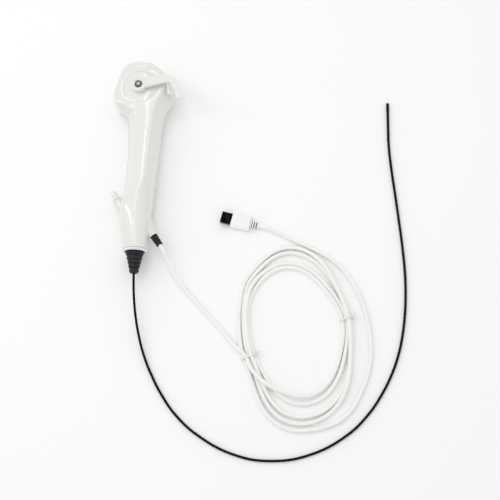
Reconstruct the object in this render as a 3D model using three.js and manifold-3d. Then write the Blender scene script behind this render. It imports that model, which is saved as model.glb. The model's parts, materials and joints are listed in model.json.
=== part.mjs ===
// Handheld flexible scope camera: a clamshell handle with a thumb lever that bends the tip of
// a long insertion tube, a capped luer side port, and a USB lead wound in an oval coil.
//
// Millimetres. The origin is the foot of the lever's pivot axis on the face the handle rests on.
// +Z runs up from the rest face to the lever side, +Y from the barrel towards the head, and +X
// towards the thumb pad.

import * as THREE from 'three';
import { mergeVertices } from 'three/addons/utils/BufferGeometryUtils.js';
import Module from 'manifold-3d';

const wasm = await Module();
wasm.setup();

// ---------------------------------------------------------------------------------------------
// Driving dimensions
// ---------------------------------------------------------------------------------------------

// housing
const BODY_DEPTH = 34; // rest face to lever-side face
const HEAD_SIZE = 62; // head across, front to spine, before the spine ridge
const GRIP_WIDTH = 34.8; // grip across at the parting plane, just below the neck
const HANDLE_REACH = 144.8; // from the neck to the open end of the barrel
const WALL = 2.2; // housing wall
const CLEARANCE = 0.3; // between two pieces that touch
const PARTING_LIP = 1.6; // upright band beside the parting line
const FACE_ROUND = 1.6; // rounding where a side meets a flat face
const SIDE_CROWN = 0.5; // how far the sides bulge past flat

// lever, its pivot and the wire drum
const DISC_RADIUS = 17.3;
const DISC_THICKNESS = 2.4;
const HUB_RADIUS = 7.75;
const HUB_HEIGHT = 8.7;
const SHAFT_RADIUS = 3;
const BUSH_WALL = 1.7;
const ARM_THICKNESS = 4.6;
const DRUM_RADIUS = 8; // bottom of the wire groove
const DRUM_FLANGE = 9.6;
const DRUM_THICKNESS = 8;
const WIRE_RADIUS = 0.35;

// hub screw, M4 low head
const SCREW_HEAD_RADIUS = 3.5;
const SCREW_HEAD_HEIGHT = 2.6;
const SCREW_SHANK_RADIUS = 1.9;
const HEX_RADIUS = 1.73;

// screws that hold the two shells together
const SHELL_SCREW_RADIUS = 1.25;
const SHELL_SCREW_HEAD_RADIUS = 2.6;
const SHELL_SCREW_LENGTH = 21;
const POST_RADIUS = 3;

// side port
const PORT_ANGLE = 32; // degrees from +Y towards -X
const PORT_BOSS_RADIUS = 4.9;
const PORT_RADIUS = 2.9;
const PORT_BORE = 1.3;
const CAP_RADIUS = 3.4;
const CAP_LENGTH = 9;
const CAP_WALL = 0.6;

// lead gland
const GLAND_ANGLE = 35; // degrees from -Y towards +X
const GLAND_RADIUS = 3.9;
const GLAND_LENGTH = 12.3;
const GLAND_BOSS_RADIUS = 4.3;

// boot and insertion tube
const BOOT_STEPS = [9.2, 8.1, 7.05, 6.05, 5.15]; // radius of each ring of the boot
const BOOT_STEP_LENGTH = 4.4;
const TUBE_RADIUS = 1.3;

// bending section and tip
const BEND_RADIUS = 1.35;
const BEND_BORE = 0.9;
const BEND_COLLAR_LENGTH = 4;
const LINK_COUNT = 8;
const LINK_PITCH = 3.6;
const LINK_GAP = 0.85;
const TIP_RADIUS = 1.5;
const TIP_LENGTH = 9;
const LENS_RADIUS = 0.55;
const LED_RADIUS = 0.3;

// USB lead and plug
const CABLE_RADIUS = 2.15;
const COIL_HEIGHT = 5.2;
const TIE_WIDTH = 2.2;
const TIE_THICKNESS = 1.1;
const PLUG_BODY = { length: 20, width: 16.4, height: 8.4 };
const PLUG_SHELL = { length: 11.6, width: 12, height: 4.5, wall: 0.35, buried: 3 };

// circuit board
const BOARD = { width: 14, length: 54, thickness: 1.6 };

// levels worked out from the sizes above
const PARTING = BODY_DEPTH / 2;
const FACE = BODY_DEPTH;
const HUB_BASE = FACE + CLEARANCE;
const HUB_TOP = HUB_BASE + HUB_HEIGHT;
const SHAFT_BORE = SHAFT_RADIUS + CLEARANCE;
const BUSH_RADIUS = SHAFT_BORE + BUSH_WALL;
const DISC_BASE = FACE - DISC_THICKNESS;
const PLATE_TOP = DISC_BASE - 2.4;
const PLATE_THICKNESS = 2.1;
const REAR_BUSH_TOP = WALL + 5.8;
const WASHER_TOP = REAR_BUSH_TOP + CLEARANCE + 1;
const DRUM_BASE = WASHER_TOP + CLEARANCE;
const WIRE_LEVEL = DRUM_BASE + DRUM_THICKNESS / 2;

// ---------------------------------------------------------------------------------------------
// Looks
// ---------------------------------------------------------------------------------------------

const LOOKS = {
  whitePlastic: { color: 0xe4e5e0, roughness: 0.28, metalness: 0 },
  clearPlastic: { color: 0xe9ebe8, roughness: 0.35, metalness: 0 },
  blackRubber: { color: 0x323337, roughness: 0.6, metalness: 0 },
  blackTube: { color: 0x0c0c0d, roughness: 0.45, metalness: 0 },
  whiteCable: { color: 0xf0f0ec, roughness: 0.5, metalness: 0 },
  steel: { color: 0xb9bab8, roughness: 0.3, metalness: 1 },
  brass: { color: 0xc9a35b, roughness: 0.35, metalness: 1 },
  innerPlastic: { color: 0x54585c, roughness: 0.6, metalness: 0 },
  board: { color: 0x1f5a36, roughness: 0.5, metalness: 0 },
  chip: { color: 0x1b1b1d, roughness: 0.5, metalness: 0 },
  glass: { color: 0x20262c, roughness: 0.05, metalness: 0 },
};

// ---------------------------------------------------------------------------------------------
// Solids
// ---------------------------------------------------------------------------------------------

// A closed three.js geometry as a manifold solid, turned right side out if it needs it.
function solid(geometry) {
  const bare = geometry.index ? geometry.clone() : geometry;
  bare.deleteAttribute('normal');
  bare.deleteAttribute('uv');
  const merged = mergeVertices(bare, 1e-4);
  const points = merged.attributes.position.array;
  const corners = Uint32Array.from(merged.index.array);
  const kept = [];
  let sixVolumes = 0;
  const at = (i) => new THREE.Vector3(points[3 * i], points[3 * i + 1], points[3 * i + 2]);
  for (let i = 0; i < corners.length; i += 3) {
    const [a, b, c] = [corners[i], corners[i + 1], corners[i + 2]];
    if (a === b || b === c || c === a) continue;
    kept.push(a, b, c);
    sixVolumes += at(a).dot(at(b).cross(at(c)));
  }
  if (sixVolumes < 0) {
    for (let i = 0; i < kept.length; i += 3) [kept[i], kept[i + 1]] = [kept[i + 1], kept[i]];
  }
  return new wasm.Manifold(new wasm.Mesh({
    numProp: 3,
    vertProperties: Float32Array.from(points),
    triVerts: Uint32Array.from(kept),
  }));
}

// A manifold solid back as a three.js geometry.
function geometryOf(shape) {
  const mesh = shape.getMesh();
  const geometry = new THREE.BufferGeometry();
  geometry.setAttribute('position', new THREE.Float32BufferAttribute(mesh.vertProperties, 3));
  geometry.setIndex(Array.from(mesh.triVerts));
  geometry.computeVertexNormals();
  return geometry;
}

function union(...shapes) {
  return shapes.reduce((sum, shape) => sum.add(shape));
}

// A profile of [radius, height] points turned about +Z.
function turned(profile, sides = 32) {
  const points = profile.map(([radius, height]) => new THREE.Vector2(radius, height));
  if (profile[0][0] > 0 || profile[profile.length - 1][0] > 0) points.push(points[0].clone());
  return new THREE.LatheGeometry(points, sides).rotateX(Math.PI / 2);
}

// A round bar or a ring about +Z.
function ring(outer, inner, low, high, sides = 32) {
  const profile = inner > 0
    ? [[inner, low], [outer, low], [outer, high], [inner, high]]
    : [[0, low], [outer, low], [outer, high], [0, high]];
  return turned(profile, sides);
}

// A box given by its lowest and highest corners.
function block(low, high) {
  const size = high.map((value, axis) => value - low[axis]);
  return new THREE.BoxGeometry(...size).translate(...low.map((value, axis) => value + size[axis] / 2));
}

// A flat outline of [x, y] points raised along +Z.
function plate(outline, low, high, holes = []) {
  const shape = new THREE.Shape(outline.map(([x, y]) => new THREE.Vector2(x, y)));
  for (const hole of holes) shape.holes.push(new THREE.Path(hole.map(([x, y]) => new THREE.Vector2(x, y))));
  return new THREE.ExtrudeGeometry(shape, { depth: high - low, bevelEnabled: false }).translate(0, 0, low);
}

// A round section swept along a smooth curve through the given points.
function sweptTube(points, radius, sides, steps) {
  const section = new THREE.Shape();
  for (let side = 0; side < sides; side += 1) {
    const angle = (2 * Math.PI * (side + 0.5)) / sides;
    const x = radius * Math.cos(angle);
    const y = radius * Math.sin(angle);
    if (side === 0) section.moveTo(x, y);
    else section.lineTo(x, y);
  }
  const path = new THREE.CatmullRomCurve3(points.map((point) => new THREE.Vector3(...point)));
  return new THREE.ExtrudeGeometry(section, { steps, bevelEnabled: false, extrudePath: path });
}

// The frame whose +Z points along a direction in the plane of the table.
function aimed(x, y, z, directionX, directionY) {
  const forward = new THREE.Vector3(directionX, directionY, 0).normalize();
  const up = new THREE.Vector3(0, 0, 1);
  const side = new THREE.Vector3().crossVectors(up, forward);
  return new THREE.Matrix4().makeBasis(side, up, forward).setPosition(x, y, z);
}

const degrees = THREE.MathUtils.degToRad;
const scope = new THREE.Group();

// One named mesh with its own material.
function piece(name, shape, look, parent = scope) {
  const geometry = geometryOf(shape.isBufferGeometry ? solid(shape) : shape);
  const mesh = new THREE.Mesh(geometry, new THREE.MeshStandardMaterial(LOOKS[look]));
  mesh.name = name;
  parent.add(mesh);
  return mesh;
}

// A nested group whose own +Z lies along the given frame.
function groupAt(frame) {
  const group = new THREE.Group();
  group.applyMatrix4(frame);
  scope.add(group);
  return group;
}

// ---------------------------------------------------------------------------------------------
// Housing: ribs across the handle, from the crown of the head to the end of the barrel
// ---------------------------------------------------------------------------------------------

const NECK = -30;
const headScale = HEAD_SIZE / 62;
const gripScale = GRIP_WIDTH / 34.8;
const reachScale = HANDLE_REACH / 144.8;

// A point of the housing's plan moved to suit the head size, the grip width and the reach.
function place(x, y) {
  if (y >= NECK) return [x * headScale, y * headScale];
  const share = THREE.MathUtils.smoothstep(-y, -NECK, -NECK + 20);
  const across = THREE.MathUtils.lerp(headScale, gripScale, share);
  return [x * across, NECK * headScale + (y - NECK) * reachScale];
}

// Each rib: the right edge of the flat face, the right side at the parting plane, then the left
// edge of the flat face and the left side at the parting plane.
const HEAD_RIBS = [
  [[1.5, 28.3], [1.7, 30], [-2.5, 28.3], [-2.7, 30]],
  [[7.7, 27.5], [8.3, 29.1], [-8.3, 27.5], [-8.8, 29]],
  [[14.3, 24.8], [15.4, 26.2], [-14.2, 24.6], [-15.2, 25.9]],
  [[20, 20.6], [21.6, 21.9], [-18.6, 20.4], [-20, 21.3]],
  [[25.6, 15.2], [27, 15.9], [-20.9, 14.4], [-22.5, 14.9]],
  [[28.4, 7.5], [31.4, 8], [-23.3, 6.6], [-24.9, 6.8]],
  [[27.9, 0.8], [33.7, 0.2], [-25.4, 0], [-27, 0]],
  [[26.4, -3.9], [35, -5.2], [-26.6, -5], [-28.2, -5.2]],
  [[23.4, -9.6], [34.1, -10.4], [-27, -10.7], [-28.5, -11]],
  [[19.8, -15.3], [31.7, -16.4], [-25.3, -17.1], [-26.4, -17.6]],
  [[18.3, -19.3], [29.6, -20.4], [-16.9, -20.7], [-21.6, -23.4]],
  [[17.4, -23.6], [27.4, -24.6], [-10.2, -23.6], [-13.9, -29.4]],
];
const GRIP_RIBS = [
  [[17.4, -23.6], [27.4, -24.6], [-10.2, -23.6], [-13.9, -29.4]],
  [[16.9, -27.5], [25.9, -28.6], [-5.7, -27.7], [-13.2, -33]],
  [[16.4, -31.5], [25, -32], [-2.8, -32.3], [-12.8, -36.5]],
  [[15.6, -38.5], [23.7, -38.5], [-1.2, -39.7], [-12.4, -41]],
  [[14.7, -48], [22.7, -48], [-1.1, -48.6], [-12, -49]],
  [[13.6, -63.6], [21.8, -64], [-1.4, -63.5], [-11.4, -64]],
  [[12.4, -79], [20.5, -79.5], [-2.2, -79], [-11.5, -79.5]],
  [[11.4, -94], [19.3, -94], [-3, -94], [-12, -94]],
];
// Round ribs of the barrel: distance along the handle, left side, right side, half height.
const BARREL_RIBS = [
  [-94, -12, 19.3, 17],
  [-110, -13.1, 18.1, 17],
  [-122, -16.2, 17.1, 17],
  [-132, -18, 16.3, 17],
  [-145, -17.4, 15.6, 16.4],
  [-160, -15.1, 14.9, 15],
  [-171, -13.2, 13.9, 13.6],
  [-174.8, -12.5, 13.4, 12.9],
];
const ROUNDING_START = -96; // the facets begin to fade into the round barrel
const ROUNDING_END = -124;

// A smooth run of ribs through the given ones, with so many ribs between each pair.
function smoothRibs(rows, between) {
  const ends = [0, 1, 2, 3].map((edge) => new THREE.CatmullRomCurve3(
    rows.map((row) => new THREE.Vector3(...place(...row[edge]), 0)),
    false,
    'centripetal',
  ));
  const count = (rows.length - 1) * between;
  return Array.from({ length: count + 1 }, (_, index) => {
    const [faceRight, midRight, faceLeft, midLeft] = ends.map((curve) => curve.getPoint(index / count));
    return { faceRight, midRight, faceLeft, midLeft, half: PARTING, round: 0 };
  });
}

function barrelRibs(between) {
  const left = new THREE.CatmullRomCurve3(BARREL_RIBS.map(([y, x]) => new THREE.Vector3(...place(x, y), 0)));
  const right = new THREE.CatmullRomCurve3(BARREL_RIBS.map(([y, , x]) => new THREE.Vector3(...place(x, y), 0)));
  const height = new THREE.CatmullRomCurve3(BARREL_RIBS.map(([, , , half], i) => new THREE.Vector3(i, half, 0)));
  const lastGrip = GRIP_RIBS[GRIP_RIBS.length - 1];
  const count = (BARREL_RIBS.length - 1) * between;
  const start = place(0, ROUNDING_START)[1];
  const end = place(0, ROUNDING_END)[1];
  return Array.from({ length: count }, (_, index) => {
    const along = (index + 1) / count;
    const midRight = right.getPoint(along);
    const midLeft = left.getPoint(along);
    const round = 1 - THREE.MathUtils.smoothstep(midLeft.y, end, start);
    const faceRight = new THREE.Vector3(place(lastGrip[0][0], 0)[0] - 6 * round, midRight.y, 0);
    const faceLeft = new THREE.Vector3(place(lastGrip[2][0], 0)[0] - 2 * round, midLeft.y, 0);
    const half = (height.getPoint(along).y * PARTING) / 17;
    return { faceRight, midRight, faceLeft, midLeft, half, round };
  });
}

const ribs = [...smoothRibs(HEAD_RIBS, 2), ...smoothRibs(GRIP_RIBS, 1).slice(1), ...barrelRibs(2)];

// The same ribs moved inwards by a wall, square to each edge in plan.
function insetRibs(wall) {
  const edges = ['faceRight', 'midRight', 'faceLeft', 'midLeft'];
  return ribs.map((rib, index) => {
    const before = ribs[Math.max(index - 1, 0)];
    const after = ribs[Math.min(index + 1, ribs.length - 1)];
    const moved = { ...rib, half: rib.half - wall };
    for (const edge of edges) {
      const run = after[edge].clone().sub(before[edge]).normalize();
      const inward = edge.endsWith('Right') ? 1 : -1;
      moved[edge] = rib[edge].clone().add(new THREE.Vector3(run.y * inward, -run.x * inward, 0).multiplyScalar(wall));
    }
    return moved;
  });
}

// Points over one rib, from the right side of the parting plane to the left.
function ribPoints(rib, base) {
  const side = (mid, face, other) => {
    const raised = (share, height) => face.clone().lerp(mid, share).setZ(height);
    const toMid = mid.clone().sub(face).setLength(1);
    const out = (point, amount) => point.add(toMid.clone().multiplyScalar(amount));
    const slope = Math.hypot(mid.distanceTo(face), rib.half);
    const cut = FACE_ROUND / slope;
    const faceCut = FACE_ROUND / face.distanceTo(other);
    const inner = face.clone().lerp(other, faceCut).setZ(rib.half);
    const outer = raised(cut, rib.half * (1 - cut));
    const corner = raised(0, rib.half).lerp(inner.clone().add(outer).multiplyScalar(0.5), 0.5);
    return [
      raised(1, base),
      raised(1, PARTING_LIP),
      out(raised(0.64, rib.half * 0.4), SIDE_CROWN),
      out(raised(0.34, rib.half * 0.7), SIDE_CROWN),
      outer,
      corner,
      inner,
    ];
  };
  const right = side(rib.midRight, rib.faceRight, rib.faceLeft);
  const left = side(rib.midLeft, rib.faceLeft, rib.faceRight).reverse();
  const faceted = [...right, ...left];
  const middle = rib.midRight.clone().add(rib.midLeft).multiplyScalar(0.5);
  const reach = rib.midRight.x - middle.x;
  return faceted.map((point, index) => {
    if (index === 0 || index === faceted.length - 1) return point.clone().setZ(base);
    const angle = (Math.PI * index) / (faceted.length - 1);
    const round = new THREE.Vector3(
      middle.x + reach * Math.cos(angle),
      THREE.MathUtils.lerp(rib.midRight.y, rib.midLeft.y, index / (faceted.length - 1)),
      rib.half * Math.sin(angle),
    );
    return point.clone().lerp(round, rib.round);
  });
}

// A closed skin over a run of closed rings that all have the same number of points.
function loft(rings) {
  const count = rings[0].length;
  const corners = [];
  for (let row = 0; row + 1 < rings.length; row += 1) {
    for (let column = 0; column < count; column += 1) {
      const next = (column + 1) % count;
      const [a, b] = [row * count + column, row * count + next];
      const [c, d] = [a + count, b + count];
      corners.push(a, b, d, a, d, c);
    }
  }
  const last = (rings.length - 1) * count;
  for (let column = 1; column + 1 < count; column += 1) {
    corners.push(0, column + 1, column, last, last + column, last + column + 1);
  }
  const geometry = new THREE.BufferGeometry();
  const positions = rings.flat().flatMap((point) => [point.x, point.y, point.z]);
  geometry.setAttribute('position', new THREE.Float32BufferAttribute(positions, 3));
  geometry.setIndex(corners);
  return geometry;
}

// Half of the housing above its parting plane. The inside reaches past the plane and the barrel end.
function halfBody(run, base, openEnd) {
  const rings = run.map((rib) => ribPoints(rib, base));
  if (openEnd) rings.push(rings[rings.length - 1].map((point) => point.clone().setY(point.y - 4)));
  return loft(rings);
}

// Puts a half made above z = 0 onto the lever side or, mirrored, onto the rest side.
function toSide(geometry, leverSide) {
  return geometry.clone().scale(1, 1, leverSide ? 1 : -1).translate(0, 0, PARTING);
}

const portFrame = (() => {
  const [x, y] = place(-20.4, -121.7);
  return aimed(x, y, PARTING, -Math.sin(degrees(PORT_ANGLE)), Math.cos(degrees(PORT_ANGLE)));
})();
const glandFrame = (() => {
  const [x, y] = place(19.3, -160.1);
  return aimed(x, y, PARTING, Math.sin(degrees(GLAND_ANGLE)), -Math.cos(degrees(GLAND_ANGLE)));
})();

const PORT_BOSS_LENGTH = 17;
const GLAND_BOSS_LENGTH = 21;
const GLAND_BOSS_FLARE = 4.6; // how much wider the boss is at its root
const GLAND_SHANK = GLAND_RADIUS - 1;

const bosses = union(
  solid(ring(PORT_BOSS_RADIUS, 0, -PORT_BOSS_LENGTH, 0, 24).applyMatrix4(portFrame)),
  solid(turned([
    [0, -GLAND_BOSS_LENGTH],
    [GLAND_BOSS_RADIUS + GLAND_BOSS_FLARE, -GLAND_BOSS_LENGTH],
    [GLAND_BOSS_RADIUS, 0],
    [0, 0],
  ], 28).applyMatrix4(glandFrame)),
);
const bores = union(
  solid(ring(PORT_RADIUS + CLEARANCE, 0, -PORT_BOSS_LENGTH - 6, 1, 24).applyMatrix4(portFrame)),
  solid(ring(GLAND_SHANK + CLEARANCE, 0, -GLAND_BOSS_LENGTH, 1, 24).applyMatrix4(glandFrame)),
);

// Where the shell screws stand: two in the head, two in the grip.
const SCREW_PLACES = [[1, 22.6], [-19.4, -12.6], [14.4, -46], [11.6, -108]];
const SCREW_RECESS = 3.4;

function shellScrewPlaces() {
  return SCREW_PLACES.map(([x, y]) => place(x, y));
}

// One half of the housing, with its bosses, screw posts and openings.
function shell(leverSide) {
  const half = CLEARANCE / 2;
  const outer = solid(toSide(halfBody(ribs, half, false), leverSide));
  const inner = solid(toSide(halfBody(insetRibs(WALL), half - 1, true), leverSide));
  const reach = 600;
  const room = leverSide
    ? solid(block([-reach, -reach, PARTING + half], [reach, reach, reach]))
    : solid(block([-reach, -reach, -reach], [reach, reach, PARTING - half]));
  const posts = shellScrewPlaces().map(([x, y]) => {
    const span = leverSide ? [PARTING + half, FACE] : [0, PARTING - half];
    return solid(ring(POST_RADIUS, 0, ...span, 16).translate(x, y, 0));
  });
  let body = outer.add(bosses.intersect(room)).subtract(inner);
  body = body.add(union(...posts).intersect(outer));
  return body.subtract(bores);
}

// The lever-side shell: the round opening of the lever disc with a collar under it.
function leverShell() {
  const opening = DISC_RADIUS + CLEARANCE;
  const collar = solid(ring(opening + 1.8, opening, PLATE_TOP + CLEARANCE, FACE - WALL / 2, 48));
  const pilots = shellScrewPlaces().map(([x, y]) => solid(
    ring(SHELL_SCREW_RADIUS + CLEARANCE, 0, PARTING - 1, SCREW_RECESS + SHELL_SCREW_LENGTH + 1, 12)
      .translate(x, y, 0),
  ));
  return shell(true)
    .add(collar)
    .subtract(solid(ring(opening, 0, PLATE_TOP + CLEARANCE / 2, FACE + 5, 48)))
    .subtract(union(...pilots));
}

// The rest-side shell: the seat of the rear bush, two board posts and the screw recesses.
function restShell() {
  const seat = solid(ring(BUSH_RADIUS + CLEARANCE + 2.2, BUSH_RADIUS + CLEARANCE, WALL / 2, REAR_BUSH_TOP, 32));
  const boardPosts = boardPostPlaces().map(([x, y]) => solid(
    ring(1.8, 0, WALL / 2, BOARD_LEVEL - CLEARANCE, 12).translate(x, y, 0),
  ));
  const recesses = shellScrewPlaces().flatMap(([x, y]) => [
    solid(ring(SHELL_SCREW_HEAD_RADIUS + CLEARANCE, 0, -1, SCREW_RECESS, 20).translate(x, y, 0)),
    solid(ring(SHELL_SCREW_RADIUS + CLEARANCE, 0, -1, PARTING + 1, 12).translate(x, y, 0)),
  ]);
  return shell(false).add(union(seat, ...boardPosts)).subtract(union(...recesses));
}

const BOARD_LEVEL = PARTING - 0.2;

function boardPostPlaces() {
  return [place(1.2, -54), place(1.2, -100)];
}

function addHousing() {
  piece('lever_side_shell', leverShell(), 'whitePlastic');
  piece('rest_side_shell', restShell(), 'whitePlastic');
  const screw = turned([
    [0, 0], [SHELL_SCREW_HEAD_RADIUS, 0], [SHELL_SCREW_HEAD_RADIUS, 1.9],
    [SHELL_SCREW_RADIUS, 1.9], [SHELL_SCREW_RADIUS, SHELL_SCREW_LENGTH], [0, SHELL_SCREW_LENGTH],
  ], 14);
  shellScrewPlaces().forEach(([x, y], index) => {
    const mesh = piece(`shell_screw_${index + 1}`, screw.clone(), 'steel');
    mesh.position.set(x, y, SCREW_RECESS - 1.9 - CLEARANCE);
  });
}

// ---------------------------------------------------------------------------------------------
// Lever, pivot and wire drum, all about the pivot axis
// ---------------------------------------------------------------------------------------------

// Plan of the arm, which runs out from the hub and hooks down into a thumb fin behind the head.
const ARM_PLAN = [
  [1, 6.6], [7, 6.9], [16, 8.2], [24, 9.5], [28.4, 9.7], [32.1, 8.8], [36.9, 5.8], [40.3, 1.9],
  [43.4, -3.9], [44.6, -9.7], [45.2, -15.6], [44.5, -17.7], [42.8, -18.6], [41.5, -16.6],
  [39.6, -11.3], [37.5, -6.5], [35.9, -4.2], [33.9, 0.1], [30.8, 0.9], [27.2, 0.4], [20, -1.1],
  [12.7, -2.6], [7, -3.8], [1, -5],
];
// Plan of the skirt's lower edge. The skirt is a web that hangs from the arm, leaning like the
// head's back.
const SKIRT_PLAN = [
  [35.5, 2], [35.6, -2], [36, -6], [36.2, -9.4], [36.4, -10.8],
  [38.2, -11.6], [38.8, -10.6], [38.4, -7], [37.6, -2], [37.2, 2],
];
const SKIRT_LOW = 24;
const SKIRT_LEAN = 0.38; // how far it leans towards the pivot for each millimetre up

function smoothOutline(points, count) {
  const curve = new THREE.CatmullRomCurve3(points.map(([x, y]) => new THREE.Vector3(x, y, 0)), true, 'centripetal');
  return curve.getPoints(count).slice(0, -1).map((point) => [point.x, point.y]);
}

function leverBody() {
  const armLow = HUB_TOP - ARM_THICKNESS;
  const grown = (plan) => plan.map(([x, y]) => [x * headScale, y * headScale]);
  const arm = solid(plate(smoothOutline(grown(ARM_PLAN), 72), armLow, HUB_TOP));
  const lean = new THREE.Matrix4().makeShear(0, 0, 0, 0, -SKIRT_LEAN, 0);
  const skirtHeight = armLow + 1 - SKIRT_LOW;
  const skirt = solid(plate(smoothOutline(grown(SKIRT_PLAN), 40), 0, skirtHeight)
    .applyMatrix4(lean)
    .translate(0, 0, SKIRT_LOW));
  const hub = solid(ring(HUB_RADIUS, 0, HUB_BASE, HUB_TOP, 40));
  const socket = solid(ring(SHAFT_BORE, 0, HUB_BASE - 1, SHAFT_TOP + CLEARANCE, 28));
  const screwHole = solid(ring(SCREW_SHANK_RADIUS + CLEARANCE, 0, HUB_BASE, HUB_TOP + 1, 20));
  const headSeat = solid(ring(SCREW_HEAD_RADIUS + CLEARANCE, 0, HEAD_SEAT, HUB_TOP + 1, 28));
  return arm.add(skirt).add(hub).subtract(union(socket, screwHole, headSeat));
}

const HEAD_SEAT = HUB_TOP - SCREW_HEAD_HEIGHT - 0.6;
const SHAFT_TOP = HEAD_SEAT - 1.4;
const SHAFT_LOW = WALL + 0.6;

function addLever() {
  piece('thumb_lever', leverBody(), 'whitePlastic');

  const headLow = HEAD_SEAT + CLEARANCE;
  const headTop = headLow + SCREW_HEAD_HEIGHT;
  const shankLow = SHAFT_TOP - 9;
  const screw = solid(turned([
    [0, shankLow], [SCREW_SHANK_RADIUS, shankLow], [SCREW_SHANK_RADIUS, headLow], [SCREW_HEAD_RADIUS, headLow],
    [SCREW_HEAD_RADIUS, headTop - 0.4], [SCREW_HEAD_RADIUS - 0.4, headTop], [0, headTop],
  ], 28));
  const hexagon = solid(ring(HEX_RADIUS, 0, headTop - 1.8, headTop + 1, 6));
  piece('hub_screw', screw.subtract(hexagon), 'steel');

  piece('lever_disc', ring(DISC_RADIUS, SHAFT_BORE, DISC_BASE, FACE, 48), 'whitePlastic');
  const sealRadius = 0.6;
  const sealLevel = (DISC_BASE + PLATE_TOP) / 2;
  const seal = new THREE.TorusGeometry(DISC_RADIUS - 1, sealRadius, 8, 40).translate(0, 0, sealLevel);
  piece('disc_seal', seal, 'blackRubber');

  const shaft = solid(ring(SHAFT_RADIUS, 0, SHAFT_LOW, SHAFT_TOP, 28));
  const thread = solid(ring(SCREW_SHANK_RADIUS + CLEARANCE, 0, shankLow - 1, SHAFT_TOP + 1, 20));
  piece('pivot_shaft', shaft.subtract(thread), 'steel');

  const plateLow = PLATE_TOP - PLATE_THICKNESS;
  piece('bearing_plate', ring(DISC_RADIUS + 1.8, BUSH_RADIUS + CLEARANCE, plateLow, PLATE_TOP, 48), 'innerPlastic');
  piece('front_bush', ring(BUSH_RADIUS, SHAFT_BORE, plateLow, PLATE_TOP + 0.6, 28), 'brass');
  piece('rear_bush', ring(BUSH_RADIUS, SHAFT_BORE, WALL + CLEARANCE, REAR_BUSH_TOP, 28), 'brass');
  piece('friction_washer', ring(BUSH_RADIUS + 2, SHAFT_BORE, REAR_BUSH_TOP + CLEARANCE, WASHER_TOP, 28), 'steel');

  // The drum's long hub keeps it down against the friction washer.
  const rim = (DRUM_FLANGE - DRUM_RADIUS) / 2;
  const drumTop = DRUM_BASE + DRUM_THICKNESS;
  const hubTop = plateLow - CLEARANCE;
  piece('wire_drum', turned([
    [SHAFT_BORE, DRUM_BASE], [DRUM_FLANGE, DRUM_BASE], [DRUM_FLANGE, DRUM_BASE + 1.6],
    [DRUM_RADIUS, DRUM_BASE + 1.6 + rim], [DRUM_RADIUS, drumTop - 1.6 - rim],
    [DRUM_FLANGE, drumTop - 1.6], [DRUM_FLANGE, drumTop], [SHAFT_BORE + 1.6, drumTop],
    [SHAFT_BORE + 1.6, hubTop], [SHAFT_BORE, hubTop],
  ], 36), 'innerPlastic');
}

// ---------------------------------------------------------------------------------------------
// Pull wires, their guide and the coil pipes that carry them on to the tube
// ---------------------------------------------------------------------------------------------

const WIRE_OFFSET = DRUM_RADIUS + WIRE_RADIUS + CLEARANCE;
const GUIDE_START = -112; // along the handle
const GUIDE_END = -122;
const GUIDE_HALF_HEIGHT = 2.4;
const WIRE_EXIT_OFFSET = 3.2;
const PIPE_BORE = WIRE_RADIUS + CLEARANCE;
const PIPE_RADIUS = PIPE_BORE + 0.3;

// The straight run of one wire, tangent to the drum: side is +1 or -1.
function wireRun(side) {
  const [, exit] = place(0, GUIDE_END + 2);
  const start = new THREE.Vector3(side * WIRE_OFFSET, 0, WIRE_LEVEL);
  const end = new THREE.Vector3(side * WIRE_EXIT_OFFSET, exit, WIRE_LEVEL);
  return { start, end, direction: end.clone().sub(start).normalize() };
}

// A round bar, or a pipe, between two places at the same height.
function barBetween(from, to, radius, sides, inner = 0) {
  const length = from.distanceTo(to);
  return ring(radius, inner, 0, length, sides).applyMatrix4(aimed(from.x, from.y, from.z, to.x - from.x, to.y - from.y));
}

function addPullWires() {
  const [, guideStart] = place(0, GUIDE_START);
  const [, guideEnd] = place(0, GUIDE_END);
  let guide = solid(block(
    [-7, guideEnd, WIRE_LEVEL - GUIDE_HALF_HEIGHT],
    [7, guideStart, WIRE_LEVEL + GUIDE_HALF_HEIGHT],
  ));
  for (const [name, side] of [['up', 1], ['down', -1]]) {
    const { start, end, direction } = wireRun(side);
    const past = (distance) => start.clone().addScaledVector(direction, distance);
    piece(`pull_wire_${name}`, barBetween(past(-4), end, WIRE_RADIUS, 8), 'steel');
    const channel = barBetween(past(60), end.clone().addScaledVector(direction, 20), WIRE_RADIUS + 0.5, 12);
    guide = guide.subtract(solid(channel));
    const pipeStart = new THREE.Vector3(side * WIRE_EXIT_OFFSET, guideEnd - CLEARANCE, WIRE_LEVEL);
    const pipeEnd = junctionEnd() + JUNCTION_LENGTH + 1.4;
    const pipeStop = new THREE.Vector3(side * 2.2, pipeEnd, WIRE_LEVEL);
    piece(`coil_pipe_${name}`, barBetween(pipeStart, pipeStop, PIPE_RADIUS, 12, PIPE_BORE), 'steel');
  }
  piece('wire_guide', guide, 'innerPlastic');
}

// ---------------------------------------------------------------------------------------------
// Electronics and the leads inside the handle
// ---------------------------------------------------------------------------------------------

const BOARD_START = -50;
const CAMERA_LEAD_RADIUS = 0.8;
const JUNCTION_LENGTH = 16;
const JUNCTION_GAP = 2.8; // between the junction and the tube clamp

// The end of the junction that faces the tube clamp.
function junctionEnd() {
  return bootAxis.end + CLAMP_REACH + JUNCTION_GAP;
}

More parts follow.
